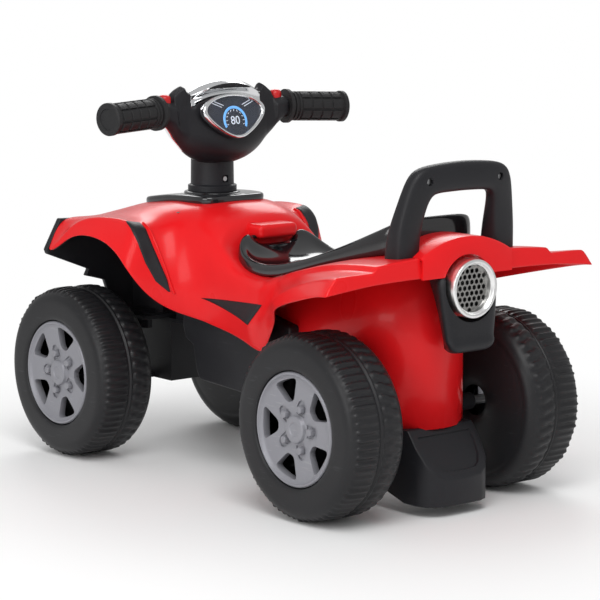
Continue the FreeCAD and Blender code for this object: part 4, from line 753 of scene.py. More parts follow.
def around(face, centre):
    """Radius, depth from the outer face and angle of a face's middle, seen along the axle."""
    spot = face.calc_center_median() - centre
    angle = math.degrees(math.atan2(spot.z, -spot.x)) % 360
    return math.hypot(spot.x, spot.z) / MM, abs(spot.y) / MM, angle


def band_of(depth):
    """Number of the tyre outline's segment at a depth on the tread."""
    for index, (first, last) in enumerate(pairs(TYRE_OUTLINE)):
        if min(first[1], last[1]) <= depth <= max(first[1], last[1]) and first[0] > SHOULDER_R:
            return index
    return None


# %% Four tyres
for end, hand, middle_x, side in WHEELS:
    bm, centre = spun_wheel(TYRE_OUTLINE, middle_x, side, TYRE_STEPS)
    ribs = {height: [] for height in RIB_HEIGHTS}
    blocks = []
    for face in bm.faces:
        radius, depth, angle = around(face, centre)
        if radius < TREAD_R:
            continue
        band = band_of(depth)
        step = int(angle / (360 / TYRE_STEPS))
        if band in RIB_BANDS and step % 2 == 0:
            ribs[RIB_HEIGHTS[RIB_SCATTER * step // 2 % len(RIB_HEIGHTS)]].append(face)
        if band in BLOCK_BANDS and (step + BLOCK_BANDS.index(band)) % 3 < 2:
            blocks.append(face)
    for height, faces in ribs.items():
        bmesh.ops.inset_region(bm, faces=faces, thickness=RIB_SLOPE * MM, depth=height * MM,
                               use_even_offset=True)
    bmesh.ops.inset_region(bm, faces=blocks, thickness=BLOCK_SLOPE * MM, depth=BLOCK_HEIGHT * MM,
                           use_even_offset=True)
    tyre = make_piece(f"ribbed_tyre_{end}_{hand}", bm, tyre_black, f"wheel_{end}_{hand}", "tyre_plastic",
                      f"tyre_{end}_{hand}")
    soften(tyre, 1)
    settle(tyre)
print("tyre:", sum(map(len, ribs.values())), "rib faces,", len(blocks), "block faces,",
      len(tyre.data.polygons), "faces in all")

# %% [markdown]
# The grey cover has five broad spokes, five rounded windows and a nut on each spoke. Its dish is a closed
# outline spun round the axle. The windows are punched right through it with one cutter, as the mould does
# with five cores, and the same cutter sinks a shallow seat round every nut. A small bevel then breaks the
# edges, so that they catch the light.

# %% Cover: outline, window and nut seat
COVER_STEPS = 96
COVER_OUTLINE = [
    (57.2, 13), (57.4, 2.4), (56.2, 1.0), (54.6, 1.0), (53.4, 3.2), (51, 4.4), (44, 4.8), (33, 5.2),
    (26, 6.0), (16, 6.4), (14.2, 5.8), (13.2, 2.6), (12, 2.0), (7.2, 2.0), (6.2, 3.0), (0, 3.0), (0, 12.5),
    (54, 12.5), (57.2, 13)]
# Half outlines as (radius, distance from the middle line).
WINDOW_HALF = [(27.8, 2.5), (28.8, 5), (31, 7.2), (44.5, 15.2), (47, 15.8), (48.9, 14), (49.8, 9), (50.2, 0)]
WINDOW_DEPTH = 16
SEAT_HALF = [(15, 6.4), (24, 6.4), (28, 5.2), (31, 2.4)]
SEAT_DEPTH = 7.8
WINDOW_TURN = {"front": 0, "rear": 36}
SPOKES = 5
NUT_CIRCLE, NUT_R, NUT_HEIGHT, NUT_DEPTH = 21.5, 4.8, 5.6, 5.2
CLEARANCE = 4
print("cover:", SPOKES, "spokes,", len(COVER_OUTLINE), "points")


# %% Helpers: punching along the axle, and a nut
def punch(cutter, half, angle, depth, centre, side):
    """Adds a prism along the axle: a mirrored half outline, turned to its place, from outside to a depth."""
    turn = Matrix.Rotation(math.radians(angle), 2)
    corners = []
    for point in both_halves(half):
        back, up = turn @ Vector(point)
        corners.append(cutter.verts.new(centre + Vector((-back, side * CLEARANCE, up)) * MM))
    base = cutter.faces.new(corners)
    sunk = bmesh.ops.extrude_face_region(cutter, geom=[base])["geom"]
    bmesh.ops.translate(cutter, vec=(0, -side * (CLEARANCE + depth) * MM, 0), verts=only_verts(sunk))


def hexagon_nut(wheel, middle, side):
    """Adds a small six-sided nut that stands along the axle."""
    turn = Matrix.Rotation(math.radians(-90 * side), 4, "X")
    bmesh.ops.create_cone(wheel, cap_ends=True, segments=6, radius1=NUT_R * MM, radius2=NUT_R * 0.82 * MM,
                          depth=NUT_HEIGHT * MM, matrix=Matrix.Translation(middle) @ turn)


# %% Four covers with their nuts
for end, hand, middle_x, side in WHEELS:
    wheel = f"wheel_{end}_{hand}"
    bm, centre = spun_wheel(COVER_OUTLINE, middle_x, side, COVER_STEPS)
    cover = make_piece(f"spoked_cover_{end}_{hand}", bm, hub_grey, wheel, "rim_grey", f"rim_{end}_{hand}")
    cutter, nuts = bmesh.new(), bmesh.new()
    for spoke in range(SPOKES):
        window = WINDOW_TURN[end] + 360 / SPOKES * spoke
        between = window + 180 / SPOKES
        punch(cutter, WINDOW_HALF, window, WINDOW_DEPTH, centre, side)
        punch(cutter, SEAT_HALF, between, SEAT_DEPTH, centre, side)
        turn = math.radians(between)
        spot = Vector((-NUT_CIRCLE * math.cos(turn), -side * NUT_DEPTH, NUT_CIRCLE * math.sin(turn)))
        hexagon_nut(nuts, centre + spot * MM, side)
    bmesh.ops.recalc_face_normals(cutter, faces=cutter.faces)
    carve(cover, cutter)
    cover.data.shade_smooth()
    edges = cover.modifiers.new("edges", "BEVEL")
    edges.width = 0.7 * MM
    edges.segments = 2
    edges.limit_method = "ANGLE"
    edges.angle_limit = math.radians(38)
    settle(cover)
    cover.data.set_sharp_from_angle(angle=math.radians(42))
    bmesh.ops.bevel(nuts, geom=nuts.edges[:], offset=0.5 * MM, segments=2, profile=0.5, affect="EDGES",
                    material=-1)
    make_piece(f"cover_nuts_{end}_{hand}", nuts, hub_grey, wheel, "rim_grey")
print("cover:", len(cover.data.polygons), "faces")

# %% [markdown]
# The handlebar is a clam shell: a black cover towards the rider and a bright one in front, over a steel
# tube. The whole shell is drawn first, as closed sections from one arm across the hood to the other arm,
# and rounded by subdivision. Then a leaning plane cuts it in two, the way the real parting line runs from
# the brow to the neck.

# %% Handlebar shell: sections
# Each section: distance from the middle, then points (x, z) round it: chin, face, hood, brow and front.
BAR_SECTIONS = [
    (0, [(94, 322), (77, 346), (93, 405), (87, 414), (98, 419), (126, 411), (143, 376), (142, 322)]),
    (20, [(95, 324), (79, 347), (94, 404), (88, 412.5), (99, 417), (123, 409), (140, 375), (138, 324)]),
    (38, [(97, 331), (85, 351), (96, 399), (92, 406), (101, 411), (118, 403), (134, 372), (129, 331)]),
    (50, [(99, 340), (90, 356), (98, 395), (98, 400), (104, 403), (116, 399), (127, 371), (122, 339)]),
    (54.5, [(100, 345), (92, 359), (98, 396), (99, 410), (107, 412.5), (118, 408), (125, 372), (120, 344)]),
    (61, [(101, 351), (93, 363), (98, 393), (101, 407), (110, 409), (119, 404), (123, 373), (118, 350)]),
    (67, [(101, 356), (92, 367), (96, 389), (101, 402), (110, 404), (119, 398), (121, 375), (116, 356)]),
    (69.5, [(100, 360), (91, 370), (92, 388), (98, 393.5), (108, 395), (116, 391), (120, 376), (115, 360)]),
    (78, [(99, 368), (91, 376), (91, 390), (98, 395), (109, 395.5), (117, 390), (118, 378), (111, 369)]),
    (84.5, [(98, 371), (91, 377.5), (91, 391), (98, 396), (110, 396), (117, 391), (117, 378), (110, 371)]),
]
# Lines along the bar that stay crisp (point of the section, hardness), and sections that do.
BAR_CREASES = [(1, 0.35), (2, 0.5), (3, 0.75), (4, 0.4)]
CRISP_SECTIONS = (2, 3, 5, -3, -4, -6)
far_arm = [(-y, points) for y, points in reversed(BAR_SECTIONS[1:])]
bar_rows = [[(x, y, z) for x, z in points] for y, points in far_arm + BAR_SECTIONS]
print("handlebar:", len(bar_rows), "sections")

# %% Handlebar shell: loft
bm = bmesh.new()
crease = bm.edges.layers.float.new("crease_edge")
rings = loft(bm, bar_rows, closed=True)
for first, second in pairs(rings):
    for corner, hard in BAR_CREASES:
        bm.edges.get((first[corner], second[corner]))[crease] = hard
for section in CRISP_SECTIONS:
    for pair in pairs(rings[section][1:6]):
        bm.edges.get(pair)[crease] = 0.6
bmesh.ops.recalc_face_normals(bm, faces=bm.faces)
whole = make_piece("bar_shell", bm, matt_black, "steering", "black_plastic")
soften(whole, 3)
settle(whole)
print("whole shell:", len(whole.data.polygons), "faces")

# %% Handlebar shell: parting
PART_POINT = Vector((89, 0, 414)) * MM
PART_NORMAL = Vector((88, 0, 26)).normalized()
BRIGHT_HALF = 48 * MM
ARM_LOW = 374 * MM
ACROSS_WAY = Vector((0, 1, 0))
PARTINGS = [(PART_POINT, PART_NORMAL), (ACROSS_WAY * BRIGHT_HALF, ACROSS_WAY),
            (-ACROSS_WAY * BRIGHT_HALF, ACROSS_WAY), (UP * ARM_LOW, UP)]


def half_shell(name, bright, finish, slot, replaced):
    """One half of the shell: cut along the parting plane, beside the hood and under the arms."""
    half = bmesh.new()
    half.from_mesh(whole.data)
    for point, normal in PARTINGS:
        bmesh.ops.bisect_plane(half, geom=half.verts[:] + half.edges[:] + half.faces[:], plane_co=point,
                               plane_no=normal, dist=1e-6)
    loose = []
    for face in half.faces:
        spot = face.calc_center_median()
        ahead = (spot - PART_POINT).dot(PART_NORMAL) > 0 and (abs(spot.y) < BRIGHT_HALF or spot.z < ARM_LOW)
        if ahead != bright:
            loose.append(face)
    bmesh.ops.delete(half, geom=loose, context="FACES")
    piece = make_piece(name, half, finish, "steering", slot, replaced)
    thicken(piece, 2.0)
    return settle(piece)


bar_rear = half_shell("bar_rear_cover", False, matt_black, "black_plastic", "handlebar_rear_cover")
bar_front = half_shell("bar_front_cover", True, chrome, "chrome", "handlebar_front_cover")
spare = whole.data
bpy.data.objects.remove(whole)
bpy.data.meshes.remove(spare)
print("handlebar covers:", len(bar_rear.data.polygons), "and", len(bar_front.data.polygons), "faces")

# %% [markdown]
# The dial sits in the leaning face of the rear cover: a bright rounded-triangle frame, a printed card
# with a curved gauge, and a clear window. All three follow one outline, drawn for one half in the plane
# of the dial.

# %% Dial: plane and outline
DIAL_MIDDLE = Vector((81.5, 0, 379.5))
DIAL_LEAN = math.radians(15.6)
DIAL_HALF = [(0, 24), (14, 23), (28, 19.5), (38, 14), (43, 8), (42, 1), (34, -8), (22, -17.5), (11, -23.5),
             (4, -25.5)]
# Scale of the outline and place out of the plane, over the rolled frame from outside to inside.
FRAME_LINES = [(1.02, -4), (1.02, 1.0), (0.99, 2.6), (0.94, 3.2), (0.89, 2.4), (0.86, 0.2), (0.85, -4)]
dial_out = Vector((-math.cos(DIAL_LEAN), 0, math.sin(DIAL_LEAN)))
dial_up = Vector((math.sin(DIAL_LEAN), 0, math.cos(DIAL_LEAN)))


def on_dial(y, up, out):
    """A point of the dial's plane, moved out of it."""
    return DIAL_MIDDLE + Vector((0, y, 0)) + dial_up * up + dial_out * out


def dial_ring(scale, out):
    """Points of the outline in the dial's plane, scaled about its middle and moved out of the plane."""
    outline = DIAL_HALF + [(-y, up) for y, up in reversed(DIAL_HALF[1:])]
    return [on_dial(y * scale, up * scale, out) for y, up in outline]


print("dial leans", round(math.degrees(DIAL_LEAN), 1), "degrees")

# %% Dial: frame, card and window
bm = bmesh.new()
loft(bm, [dial_ring(*line) for line in FRAME_LINES], closed=True)
bmesh.ops.recalc_face_normals(bm, faces=bm.faces)
dial_frame = make_piece("dial_frame", bm, chrome, "steering", "chrome", "dash_bezel")
soften(dial_frame, 2)
for name, out, finish, slot, replaced in (("dial_card", -0.8, dial_ink, "display", "dash_dial"),
                                          ("dial_window", 1.4, window_clear, "clear_lens", "dash_lens")):
    bm = bmesh.new()
    bm.faces.new([bm.verts.new(point * MM) for point in dial_ring(0.87, out)]).normal_update()
    bmesh.ops.reverse_faces(bm, faces=[face for face in bm.faces if face.normal.dot(dial_out) < 0])
    sheet = make_piece(name, bm, finish, "steering", slot, replaced)
    sheet.data.shade_flat()
    thicken(sheet, 0.8)
print("dial frame:", len(dial_frame.data.polygons), "faces before rounding")

# %% [markdown]
# The print on the card is thin ink: a pale blue gauge that sweeps over a plain number, ticks along it,
# and two short lines in the upper corners. Both inks also glow a little, which is a painted glow and not
# a lamp. The gauge is a short line spun about the dial's own axis; the ticks are copies of one box.
# Behind the card stands the green circuit board.

# %% Dial print: inks with a painted glow, and places
# Both inks also emit a little light: a painted glow that brightens the print beyond what the lamps give.
gauge_ink_painted_glow = moulded("gauge_ink_painted_glow", (0.10, 0.36, 0.78), (0.30, 0.62, 0.95), (0.5, 0.7, 0.9), (0.3, 0.4),
                    900.0, 0.02, 0.1, Emission_Color=(0.10, 0.35, 0.75, 1.0), Emission_Strength=0.5)
white_ink_painted_glow = moulded("white_ink_painted_glow", (0.75, 0.78, 0.82), (0.68, 0.72, 0.78), (0.6, 0.6, 0.65), (0.3, 0.4),
                    900.0, 0.02, 0.1, Emission_Color=(0.6, 0.65, 0.7, 1.0), Emission_Strength=0.35)
GAUGE_LOW = -6
GAUGE_SWEEP = 236
PRINT_OUT = -0.5
INK = 0.3
TICKS, TICK_STEP, TICK_R = 11, 22, 11.6
# Distance from the middle, height and length of the lines in the upper corners.
CORNER_LINES = [(21, 14.6, 18), (22, 12.0, 14)]
turn_to_dial = Matrix(((*dial_out, 0), (0, 1, 0, 0), (*dial_up, 0), (0, 0, 0, 1))).transposed()
print("inks:", gauge_ink_painted_glow.name, white_ink_painted_glow.name)


def on_gauge(angle, radius):
    """A point of the print at an angle from straight up and a radius from the gauge's middle."""
    turn = math.radians(angle)
    return on_dial(radius * math.sin(turn), GAUGE_LOW + radius * math.cos(turn), PRINT_OUT)


def ink_bar(bm, spot, angle, width, height):
    """Adds a flat box on the dial, turned by an angle."""
    place = Matrix.Translation(spot * MM) @ turn_to_dial @ Matrix.Rotation(math.radians(angle), 4, "X")
    size = Matrix.Diagonal((INK * MM, width * MM, height * MM, 1.0))
    bmesh.ops.create_cube(bm, size=1.0, matrix=place @ size)


# %% Dial print: gauge and marks
bm = bmesh.new()
line = loft(bm, [[on_gauge(-GAUGE_SWEEP / 2, radius) for radius in (13.4, 16.4)]])[0]
bmesh.ops.spin(bm, geom=line + [bm.edges.get(line)], cent=on_dial(0, GAUGE_LOW, 0) * MM, axis=dial_out,
               angle=math.radians(GAUGE_SWEEP), steps=48)
bmesh.ops.recalc_face_normals(bm, faces=bm.faces)
gauge = make_piece("dial_gauge", bm, gauge_ink_painted_glow, "steering", "display")
thicken(gauge, 0.2)
bm = bmesh.new()
for tick in range(TICKS):
    angle = TICK_STEP * (tick - (TICKS - 1) / 2)
    ink_bar(bm, on_gauge(angle, TICK_R), angle, 0.7, 2.2)
for _, side in SIDES:
    for aside, up, length in CORNER_LINES:
        ink_bar(bm, on_dial(side * aside, up, PRINT_OUT), side * 22, length, 0.8)
dial_marks = make_piece("dial_marks", bm, white_ink_painted_glow, "steering", "display")
print("gauge:", len(gauge.data.polygons), "faces, marks:", len(dial_marks.data.polygons), "faces")

# %% Circuit board behind the dial
BOARD_OUT = -11
BOARD_WALL, BOARD_WIDTH, BOARD_HEIGHT = 1.6, 46, 22
bm = bmesh.new()
spot = Matrix.Translation(on_dial(0, 0, BOARD_OUT) * MM)
size = Matrix.Diagonal((BOARD_WALL * MM, BOARD_WIDTH * MM, BOARD_HEIGHT * MM, 1.0))
bmesh.ops.create_cube(bm, size=1.0, matrix=spot @ turn_to_dial @ size)
dial_board = make_piece("dial_board", bm, board_green, "steering", "board_green", "circuit_board")
dial_board.data.shade_flat()
print("board:", len(dial_board.data.polygons), "faces")

# %% Number on the dial
letters = bpy.data.curves.new("dial_number", "FONT")
letters.body = "80"
letters.size = 13 * MM
letters.align_x = "CENTER"
letters.align_y = "CENTER"
letters.extrude = 0.1 * MM
writing = bpy.data.objects.new("dial_number", letters)
scene.collection.objects.link(writing)
bpy.context.view_layer.update()
drawn = bpy.data.meshes.new_from_object(writing.evaluated_get(bpy.context.evaluated_depsgraph_get()))
bpy.data.objects.remove(writing)
bpy.data.curves.remove(letters)
bm = bmesh.new()
bm.from_mesh(drawn)
bpy.data.meshes.remove(drawn)
page_to_dial = Matrix(((0, dial_up.x, dial_out.x, 0), (-1, 0, 0, 0), (0, dial_up.z, dial_out.z, 0),
                       (0, 0, 0, 1)))
spot = Matrix.Translation(on_dial(0, GAUGE_LOW, PRINT_OUT) * MM)
bmesh.ops.transform(bm, matrix=spot @ page_to_dial, verts=bm.verts)
dial_number = make_piece("dial_number", bm, white_ink_painted_glow, "steering", "display")
dial_number.data.shade_flat()
print("number:", len(dial_number.data.polygons), "faces")

# %% [markdown]
# A round toy exhaust sits in the tail: a satin bright ring, a pierced mesh inside it and a black cowl
# below. The ring is an outline spun round the quad's length. The cowl is a moulded bucket: one half is
# drawn as rows that go down it, each row from its front edge round the corner to the middle, and a round
# socket is cut for the ring. A black disc closes the ring behind the mesh: it is painted shade, so that
# the view through the mesh into the hollow tail is dark.

# %% Exhaust ring
satin_chrome = moulded("satin_chrome", (0.86, 0.86, 0.85), (0.8, 0.8, 0.8), (0.92, 0.92, 0.92),
                       (0.26, 0.34), 800.0, 0.05, 0.3, Metallic=1.0)
# Radius and place along the quad.
RING_OUTLINE = [
    (29.3, -278), (29.5, -293), (29.4, -298.4), (28.8, -299.5), (26.3, -299.8), (25.4, -299.2),
    (25.0, -297.4), (24.0, -297.0), (23.4, -296), (23.2, -288), (23.2, -278), (29.3, -278)]
bm = spun([(x, 0, EXHAUST_Z + radius) for radius, x in RING_OUTLINE], (0, 0, EXHAUST_Z), (1, 0, 0), 96)
tail_ring = make_piece("tail_ring", bm, satin_chrome, "chassis", "chrome", "exhaust_ring")
crisp(tail_ring, 60)
print("ring:", len(tail_ring.data.polygons), "faces")

# %% Exhaust cowl
# Each row: height, half width at the box, half width at the tail, place of the rear face.
COWL_ROWS = [
    (244, 28, 37, -286), (242, 28, 39, -292), (225, 21, 38, -295), (205, 13, 36, -296), (187, 8, 33, -297),
    (180, 6, 32, -297), (177.5, 6, 32, -299.5), (171, 5, 29, -299.5), (167, 5, 24, -296),
    (165.5, 4, 17, -287), (165.5, 3, 9, -276)]
COWL_FRONT = -258


def cowl_row(height, at_box, half, rear):
    """One half of a level of the cowl, from the box round the corner to the middle."""
    return [(COWL_FRONT, at_box, height), (rear + 14, half - 4, height), (rear + 7, half, height),
            (rear + 2, half * 0.94, height), (rear, half * 0.78, height), (rear, half * 0.4, height),
            (rear, 0, height)]


bm = bmesh.new()
loft(bm, [cowl_row(*level) for level in COWL_ROWS])
mirror_halves(bm)
tail_cowl = make_piece("tail_cowl", bm, matt_black, "chassis", "black_plastic", "exhaust_housing")
thicken(tail_cowl, 2.5)
soften(tail_cowl, 1)
settle(tail_cowl)
carve(tail_cowl, cylinder((-296, 0, EXHAUST_Z), EXHAUST_HOLE, 30, ALONG))
crisp(tail_cowl, 45)
print("cowl:", len(tail_cowl.data.polygons), "faces")

# %% Disc of painted shade behind the mesh
# The black disc is painted shade: it darkens the view through the mesh into the hollow tail.
SHADE_DISC_X, SHADE_DISC_R = -280, 29
bm = bmesh.new()
bmesh.ops.create_circle(bm, cap_ends=True, segments=48, radius=SHADE_DISC_R * MM,
                        matrix=Matrix.Translation(Vector((SHADE_DISC_X, 0, EXHAUST_Z)) * MM) @ ALONG)
painted_shade_disc = make_piece("painted_shade_disc", bm, matt_black, "chassis", "black_plastic")
thicken(painted_shade_disc, 1.0)
print("backing disc:", len(painted_shade_disc.data.polygons), "faces")

# %% [markdown]
# The push handle is a closed arch of two half shells. It is drawn as a sweep: at each station of one leg
# a ring of eight points lies between the outer and the inner curve of the arch, with its corners cut, and
# the ring is extruded to the next station. Subdivision makes the corners round for the hand. Two screw
# holes are cut from behind.

# %% Push handle: stations
# Each station: outer point (y, z), inner point (y, z), rear face and front face.
HANDLE_STATIONS = [
    ((79.5, 250), (49, 250), -275.5, -247), ((79.5, 270), (49, 270), -275.5, -249),
    ((79, 289), (48, 286), -276, -252), ((73, 316), (45.5, 305), -279.5, -259),
    ((67.5, 338), (43, 317.5), -283, -264), ((58.5, 350), (38, 323.5), -284.6, -266),
    ((40, 353), (27, 324.6), -285.2, -266.6), ((18, 354.6), (12, 325), -285.6, -267),
    ((0, 355), (0, 325.2), -285.8, -267)]
HANDLE_ROUNDING = 4.5
print("handle:", len(HANDLE_STATIONS), "stations on a leg")


def handle_ring(outer_point, inner_point, rear, front):
    """Eight points round the arch at a station."""
    outside, inside = Vector((0, *outer_point)), Vector((0, *inner_point))
    step = (inside - outside).normalized() * HANDLE_ROUNDING
    back, ahead = Vector((rear, 0, 0)), Vector((front, 0, 0))
    cut = Vector((HANDLE_ROUNDING, 0, 0))
    return [outside + back + cut, outside + back + step, inside + back - step, inside + back + cut,
            inside + ahead - cut, inside + ahead - step, outside + ahead + step, outside + ahead - cut]


# %% Push handle: sweep, closed legs and screw holes
SCREW_Y, SCREW_Z, SCREW_R = 47.5, 337, 3.8
bm = bmesh.new()
loft(bm, [handle_ring(*station) for station in HANDLE_STATIONS], closed=True)
mirror_halves(bm)
push_handle = make_piece("push_handle", bm, matt_black, "chassis", "black_plastic", "push_handle_front",
                         "push_handle_rear")
soften(push_handle, 2)
settle(push_handle)
legs = bmesh.new()
legs.from_mesh(push_handle.data)
bmesh.ops.holes_fill(legs, edges=[edge for edge in legs.edges if edge.is_boundary], sides=0)
bmesh.ops.recalc_face_normals(legs, faces=legs.faces)
legs.to_mesh(push_handle.data)
legs.free()
for _, side in SIDES:
    carve(push_handle, cylinder((-286, side * SCREW_Y, SCREW_Z), SCREW_R, 14, ALONG))
crisp(push_handle, 50)
print("handle:", len(push_handle.data.polygons), "faces")

# %% [markdown]
# The anti-tip foot is a wedge with a rounded plan. Its plan is pulled up into a prism, and three planes
# cut the wedge from it: the sloping top and two undersides. The top face is inset and sunk for the panel
# that stiffens it.

# %% Anti-tip foot
FOOT_PLAN = [(-286, 0), (-285, 24), (-281, 34), (-274, 41), (-262, 44.5), (-170, 44.5)]
FOOT_LOW, FOOT_HIGH = 11, 86
# Two points (x, z) of each cutting plane, and the side that goes: 1 above it, -1 below it.
FOOT_CUTS = [((-286, 38), (-250, 86), 1), ((-245, 11), (-210, 22), -1), ((-210, 22), (-175, 86), -1)]
bm = upright_prism(both_halves(FOOT_PLAN), FOOT_LOW, FOOT_HIGH)
for (x0, z0), (x1, z1), away in FOOT_CUTS:
    made = bmesh.ops.bisect_plane(bm, geom=bm.verts[:] + bm.edges[:] + bm.faces[:],
                                  plane_co=Vector((x0, 0, z0)) * MM,
                                  plane_no=Vector((z0 - z1, 0, x1 - x0)) * away,
                                  clear_outer=True, dist=1e-6)
    rim = [item for item in made["geom_cut"] if isinstance(item, bmesh.types.BMEdge)]
    bmesh.ops.edgeloop_fill(bm, edges=rim)
bmesh.ops.recalc_face_normals(bm, faces=bm.faces)
top = max(bm.faces, key=lambda face: face.calc_area() if face.normal.z > 0.3 and face.normal.x < -0.3 else 0)
slope = top.normal.copy()
corners = [edge for edge in bm.edges if edge.calc_face_angle(0) > 0.6]
bmesh.ops.bevel(bm, geom=corners, offset=1.6 * MM, segments=3, profile=0.5, affect="EDGES", material=-1)
top = max(bm.faces, key=lambda face: face.calc_area() if face.normal.dot(slope) > 0.99 else 0)
bmesh.ops.inset_region(bm, faces=[top], thickness=7 * MM, use_even_offset=True)
bmesh.ops.inset_region(bm, faces=[top], thickness=1.0 * MM, depth=-2.0 * MM, use_even_offset=True)
tip_foot = make_piece("tip_foot", bm, matt_black, "chassis", "black_plastic", "anti_tip_foot")
crisp(tip_foot, 35)
print("foot:", len(tip_foot.data.polygons), "faces")

# %% [markdown]
# Two red domes on the shoulders of the handlebar are the push buttons of the sound box. Each is an
# outline spun upright, and each rides on its own body, so that it goes down when it is pressed.

# %% Push buttons
DOME = [(6.9, 388), (6.9, 399.2), (6.5, 401), (5.4, 402.5), (3, 403.4), (0, 403.6)]
BUTTON_X, BUTTON_Y = 106, 77
for hand, side in SIDES:
    bm = spun_up(DOME, BUTTON_X, side * BUTTON_Y, 40)
    dome = make_piece(f"button_dome_{hand}", bm, button_red, f"button_{hand}", "red_button",
                      f"button_{hand}")
print("button dome:", len(dome.data.polygons), "faces")

# %% [markdown]
# Black foil decals break up the red: a curved stripe behind each front fender and a wedge on each side. A
# foil takes the shape of the skin under it, so each decal is a flat outline that is cut finer and then
# pressed onto the skin: every point is moved in one direction onto the red surface, and stops a hair
# above it. A red bead is pressed on in the same way: it follows a line behind the stripe, and a small
# ring is extruded along that line.

# %% Helper: pressing points onto the red skin
FOIL_GAP = 0.5
FOIL = 0.2
PRESS_FROM = 30
red_tree = BVHTree.FromObject(red_skin, bpy.context.evaluated_depsgraph_get())


def press(bm, way, lift):
    """Moves every vertex onto the red skin against a direction, and lifts it above the surface."""
    for vertex in bm.verts:
        place, normal, _, _ = red_tree.ray_cast(vertex.co + way * PRESS_FROM * MM, -way)
        vertex.co = place + (normal if normal.dot(way) > 0 else -normal) * lift * MM


def on_side(points, side):
    return [(x, side * y, z) for x, y, z in points]


def fender_way(side):
    """Direction out of the fender's rear flank."""
    return Vector((-0.45, side * 0.65, 0.61)).normalized()


# %% Stripes and wedges
# Pairs of points across the stripe, from the crest of the fender down its flank.
STRIPE = [((117, 120, 265), (113, 104, 262)), ((103, 124, 260), (99, 107, 258)),
          ((92, 124, 247), (87, 108, 243)), ((85, 119, 225), (77, 105, 224)),
          ((79, 110, 205), (71, 101, 208)), ((70.5, 99.5, 194), (69, 98, 194))]
WEDGE = [(39, 80.3, 190), (-78, 91, 197), (-54, 90.4, 173.3)]
for hand, side in SIDES:
    bm = bmesh.new()
    loft(bm, [on_side(pair, side) for pair in STRIPE])
    bmesh.ops.subdivide_edges(bm, edges=bm.edges[:], cuts=5, use_grid_fill=True)
    press(bm, fender_way(side), FOIL_GAP)
    face_out(bm, Vector((-0.6, side * 0.8, 0)))
    stripe = make_piece(f"fender_stripe_{hand}", bm, matt_black, "chassis", "black_plastic")
    thicken(stripe, FOIL)
    bm = bmesh.new()
    bm.faces.new([bm.verts.new(Vector(point) * MM) for point in on_side(WEDGE, side)])
    bmesh.ops.subdivide_edges(bm, edges=bm.edges[:], cuts=15, use_grid_fill=True)
    press(bm, Vector((0, side, 0)), FOIL_GAP)
    face_out(bm, Vector((0, side, 0)))
    wedge = make_piece(f"side_wedge_{hand}", bm, matt_black, "chassis", "black_plastic")
    thicken(wedge, FOIL)
print("decals:", len(stripe.data.polygons), "and", len(wedge.data.polygons), "faces each side")

# %% Raised bead behind each stripe
BEAD = [(111, 101, 262), (97, 103, 257), (84.5, 104, 242), (75, 102, 224), (69, 100, 208), (66, 95, 192)]
BEAD_R = 1.5
BEAD_TURNS = [math.tau * step / 8 for step in range(8)]
for hand, side in SIDES:
    bm = bmesh.new()
    line = loft(bm, [on_side(BEAD, side)])[0]
    bmesh.ops.subdivide_edges(bm, edges=[bm.edges.get(pair) for pair in pairs(line)], cuts=4)
    press(bm, fender_way(side), 0.2)
    spots = sorted((vertex.co / MM for vertex in bm.verts), key=lambda spot: -spot.z)
    bm.clear()
    rings = []
    first = None
    for before, spot, after in zip(spots[:1] + spots, spots, spots[1:] + spots[-1:]):
        run = (after - before).normalized()
        first = (first - run * first.dot(run)).normalized() if first else run.orthogonal().normalized()
        second = run.cross(first)
        rings.append([spot + (first * math.cos(t) + second * math.sin(t)) * BEAD_R for t in BEAD_TURNS])
    loft(bm, rings, closed=True)
    bmesh.ops.recalc_face_normals(bm, faces=bm.faces)
    bead = make_piece(f"fender_bead_{hand}", bm, red_gloss, "chassis", "red_plastic")
print("bead:", len(bead.data.polygons), "faces each side")

# %% [markdown]
# The camera stands low behind the left rear wheel, far away, with a long lens. A long lens keeps the
# wheels nearly the same size, as in a catalogue picture.

# %% Camera
def aimed(place, target):
    """Turn of a camera or lamp that looks from a place to a target."""
    return (target - place).to_track_quat("-Z", "Y").to_euler()


camera = bpy.data.objects.new("camera", bpy.data.cameras.new("camera"))
scene.collection.objects.link(camera)
camera.data.lens = 145.2
camera.data.sensor_width = 36.0
camera.location = Vector((-1994.9, 1637.1, 570.3)) * MM
aim = Vector((-29.9, 0.0, 188.1)) * MM
camera.rotation_euler = aimed(camera.location, aim)
scene.camera = camera
print("camera distance", round((aim - camera.location).length, 3), "m")

# %% [markdown]
# A catalogue studio is a white sweep with big soft lamps. Here a large floor carries the contact shadow
# and fades to the white of the world, three area lamps model the forms, and the world fills the shadows.
# The camera sees the world at strength 1, which is white, while the light on the quad stays at a plain
# level.

# %% Floor
bm = bmesh.new()
bmesh.ops.create_grid(bm, x_segments=1, y_segments=1, size=6.0)
floor_mesh = bpy.data.meshes.new("floor")
bm.to_mesh(floor_mesh)
bm.free()
floor = bpy.data.objects.new("floor", floor_mesh)
scene.collection.objects.link(floor)
print("floor:", len(floor_mesh.polygons), "faces")

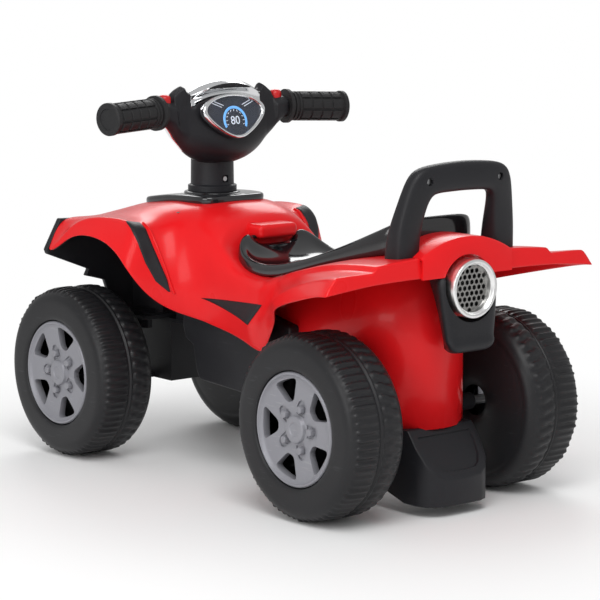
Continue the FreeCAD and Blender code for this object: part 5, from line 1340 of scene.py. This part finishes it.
# %% Paper of the floor
paper = bpy.data.materials.new("studio_paper")
paper.use_nodes = True
tree = paper.node_tree
sheet = tree.nodes["Principled BSDF"]
sheet.inputs["Base Color"].default_value = (0.92, 0.92, 0.92, 1.0)
sheet.inputs["Roughness"].default_value = 0.7
spot = add_node(tree, "ShaderNodeTexCoord")
reach = add_node(tree, "ShaderNodeVectorMath", {"operation": "LENGTH"})
tree.links.new(spot.outputs["Object"], reach.inputs[0])
fade = add_node(tree, "ShaderNodeMapRange", {"interpolation_type": "SMOOTHSTEP"},
                Value=reach.outputs["Value"], From_Min=0.35, From_Max=0.75)
glow = add_node(tree, "ShaderNodeEmission", Color=(1.0, 1.0, 1.0, 1.0), Strength=1.0)
rays = add_node(tree, "ShaderNodeLightPath")
seen = add_node(tree, "ShaderNodeMath", {"operation": "MULTIPLY"})
tree.links.new(fade.outputs["Result"], seen.inputs[0])
tree.links.new(rays.outputs["Is Camera Ray"], seen.inputs[1])
sweep = add_node(tree, "ShaderNodeMixShader", Fac=seen.outputs["Value"])
tree.links.new(sheet.outputs["BSDF"], sweep.inputs[1])
tree.links.new(glow.outputs["Emission"], sweep.inputs[2])
tree.links.new(sweep.outputs["Shader"], tree.nodes["Material Output"].inputs["Surface"])
floor_mesh.materials.append(paper)
print("paper:", len(tree.nodes), "nodes")

# %% World
world = bpy.data.worlds.new("studio")
scene.world = world
world.use_nodes = True
tree = world.node_tree
rays = add_node(tree, "ShaderNodeLightPath")
direct = add_node(tree, "ShaderNodeMath", {"operation": "MAXIMUM"})
tree.links.new(rays.outputs["Is Camera Ray"], direct.inputs[0])
tree.links.new(rays.outputs["Is Transmission Ray"], direct.inputs[1])
level = add_node(tree, "ShaderNodeMapRange", Value=direct.outputs["Value"], To_Min=0.55, To_Max=1.0)
tree.nodes["Background"].inputs["Color"].default_value = (1.0, 1.0, 1.0, 1.0)
tree.links.new(level.outputs["Result"], tree.nodes["Background"].inputs["Strength"])
print("world:", world.name)


# %% Lamps
def soft_lamp(name, place, target, width, height, power):
    lamp = bpy.data.lights.new(name, "AREA")
    lamp.shape = "RECTANGLE"
    lamp.size = width
    lamp.size_y = height
    lamp.energy = power
    holder = bpy.data.objects.new(name, lamp)
    scene.collection.objects.link(holder)
    holder.location = place
    holder.rotation_euler = aimed(Vector(place), Vector(target))


soft_lamp("key", (-1.2, 0.9, 1.9), (0.0, 0.0, 0.2), 1.2, 1.2, 24.0)
soft_lamp("side", (-0.6, 2.2, 0.9), (0.0, 0.0, 0.2), 1.4, 1.0, 14.0)
soft_lamp("back", (1.6, -1.2, 1.5), (0.0, 0.0, 0.25), 1.4, 0.8, 16.0)
print("lamps:", len(bpy.data.lights))
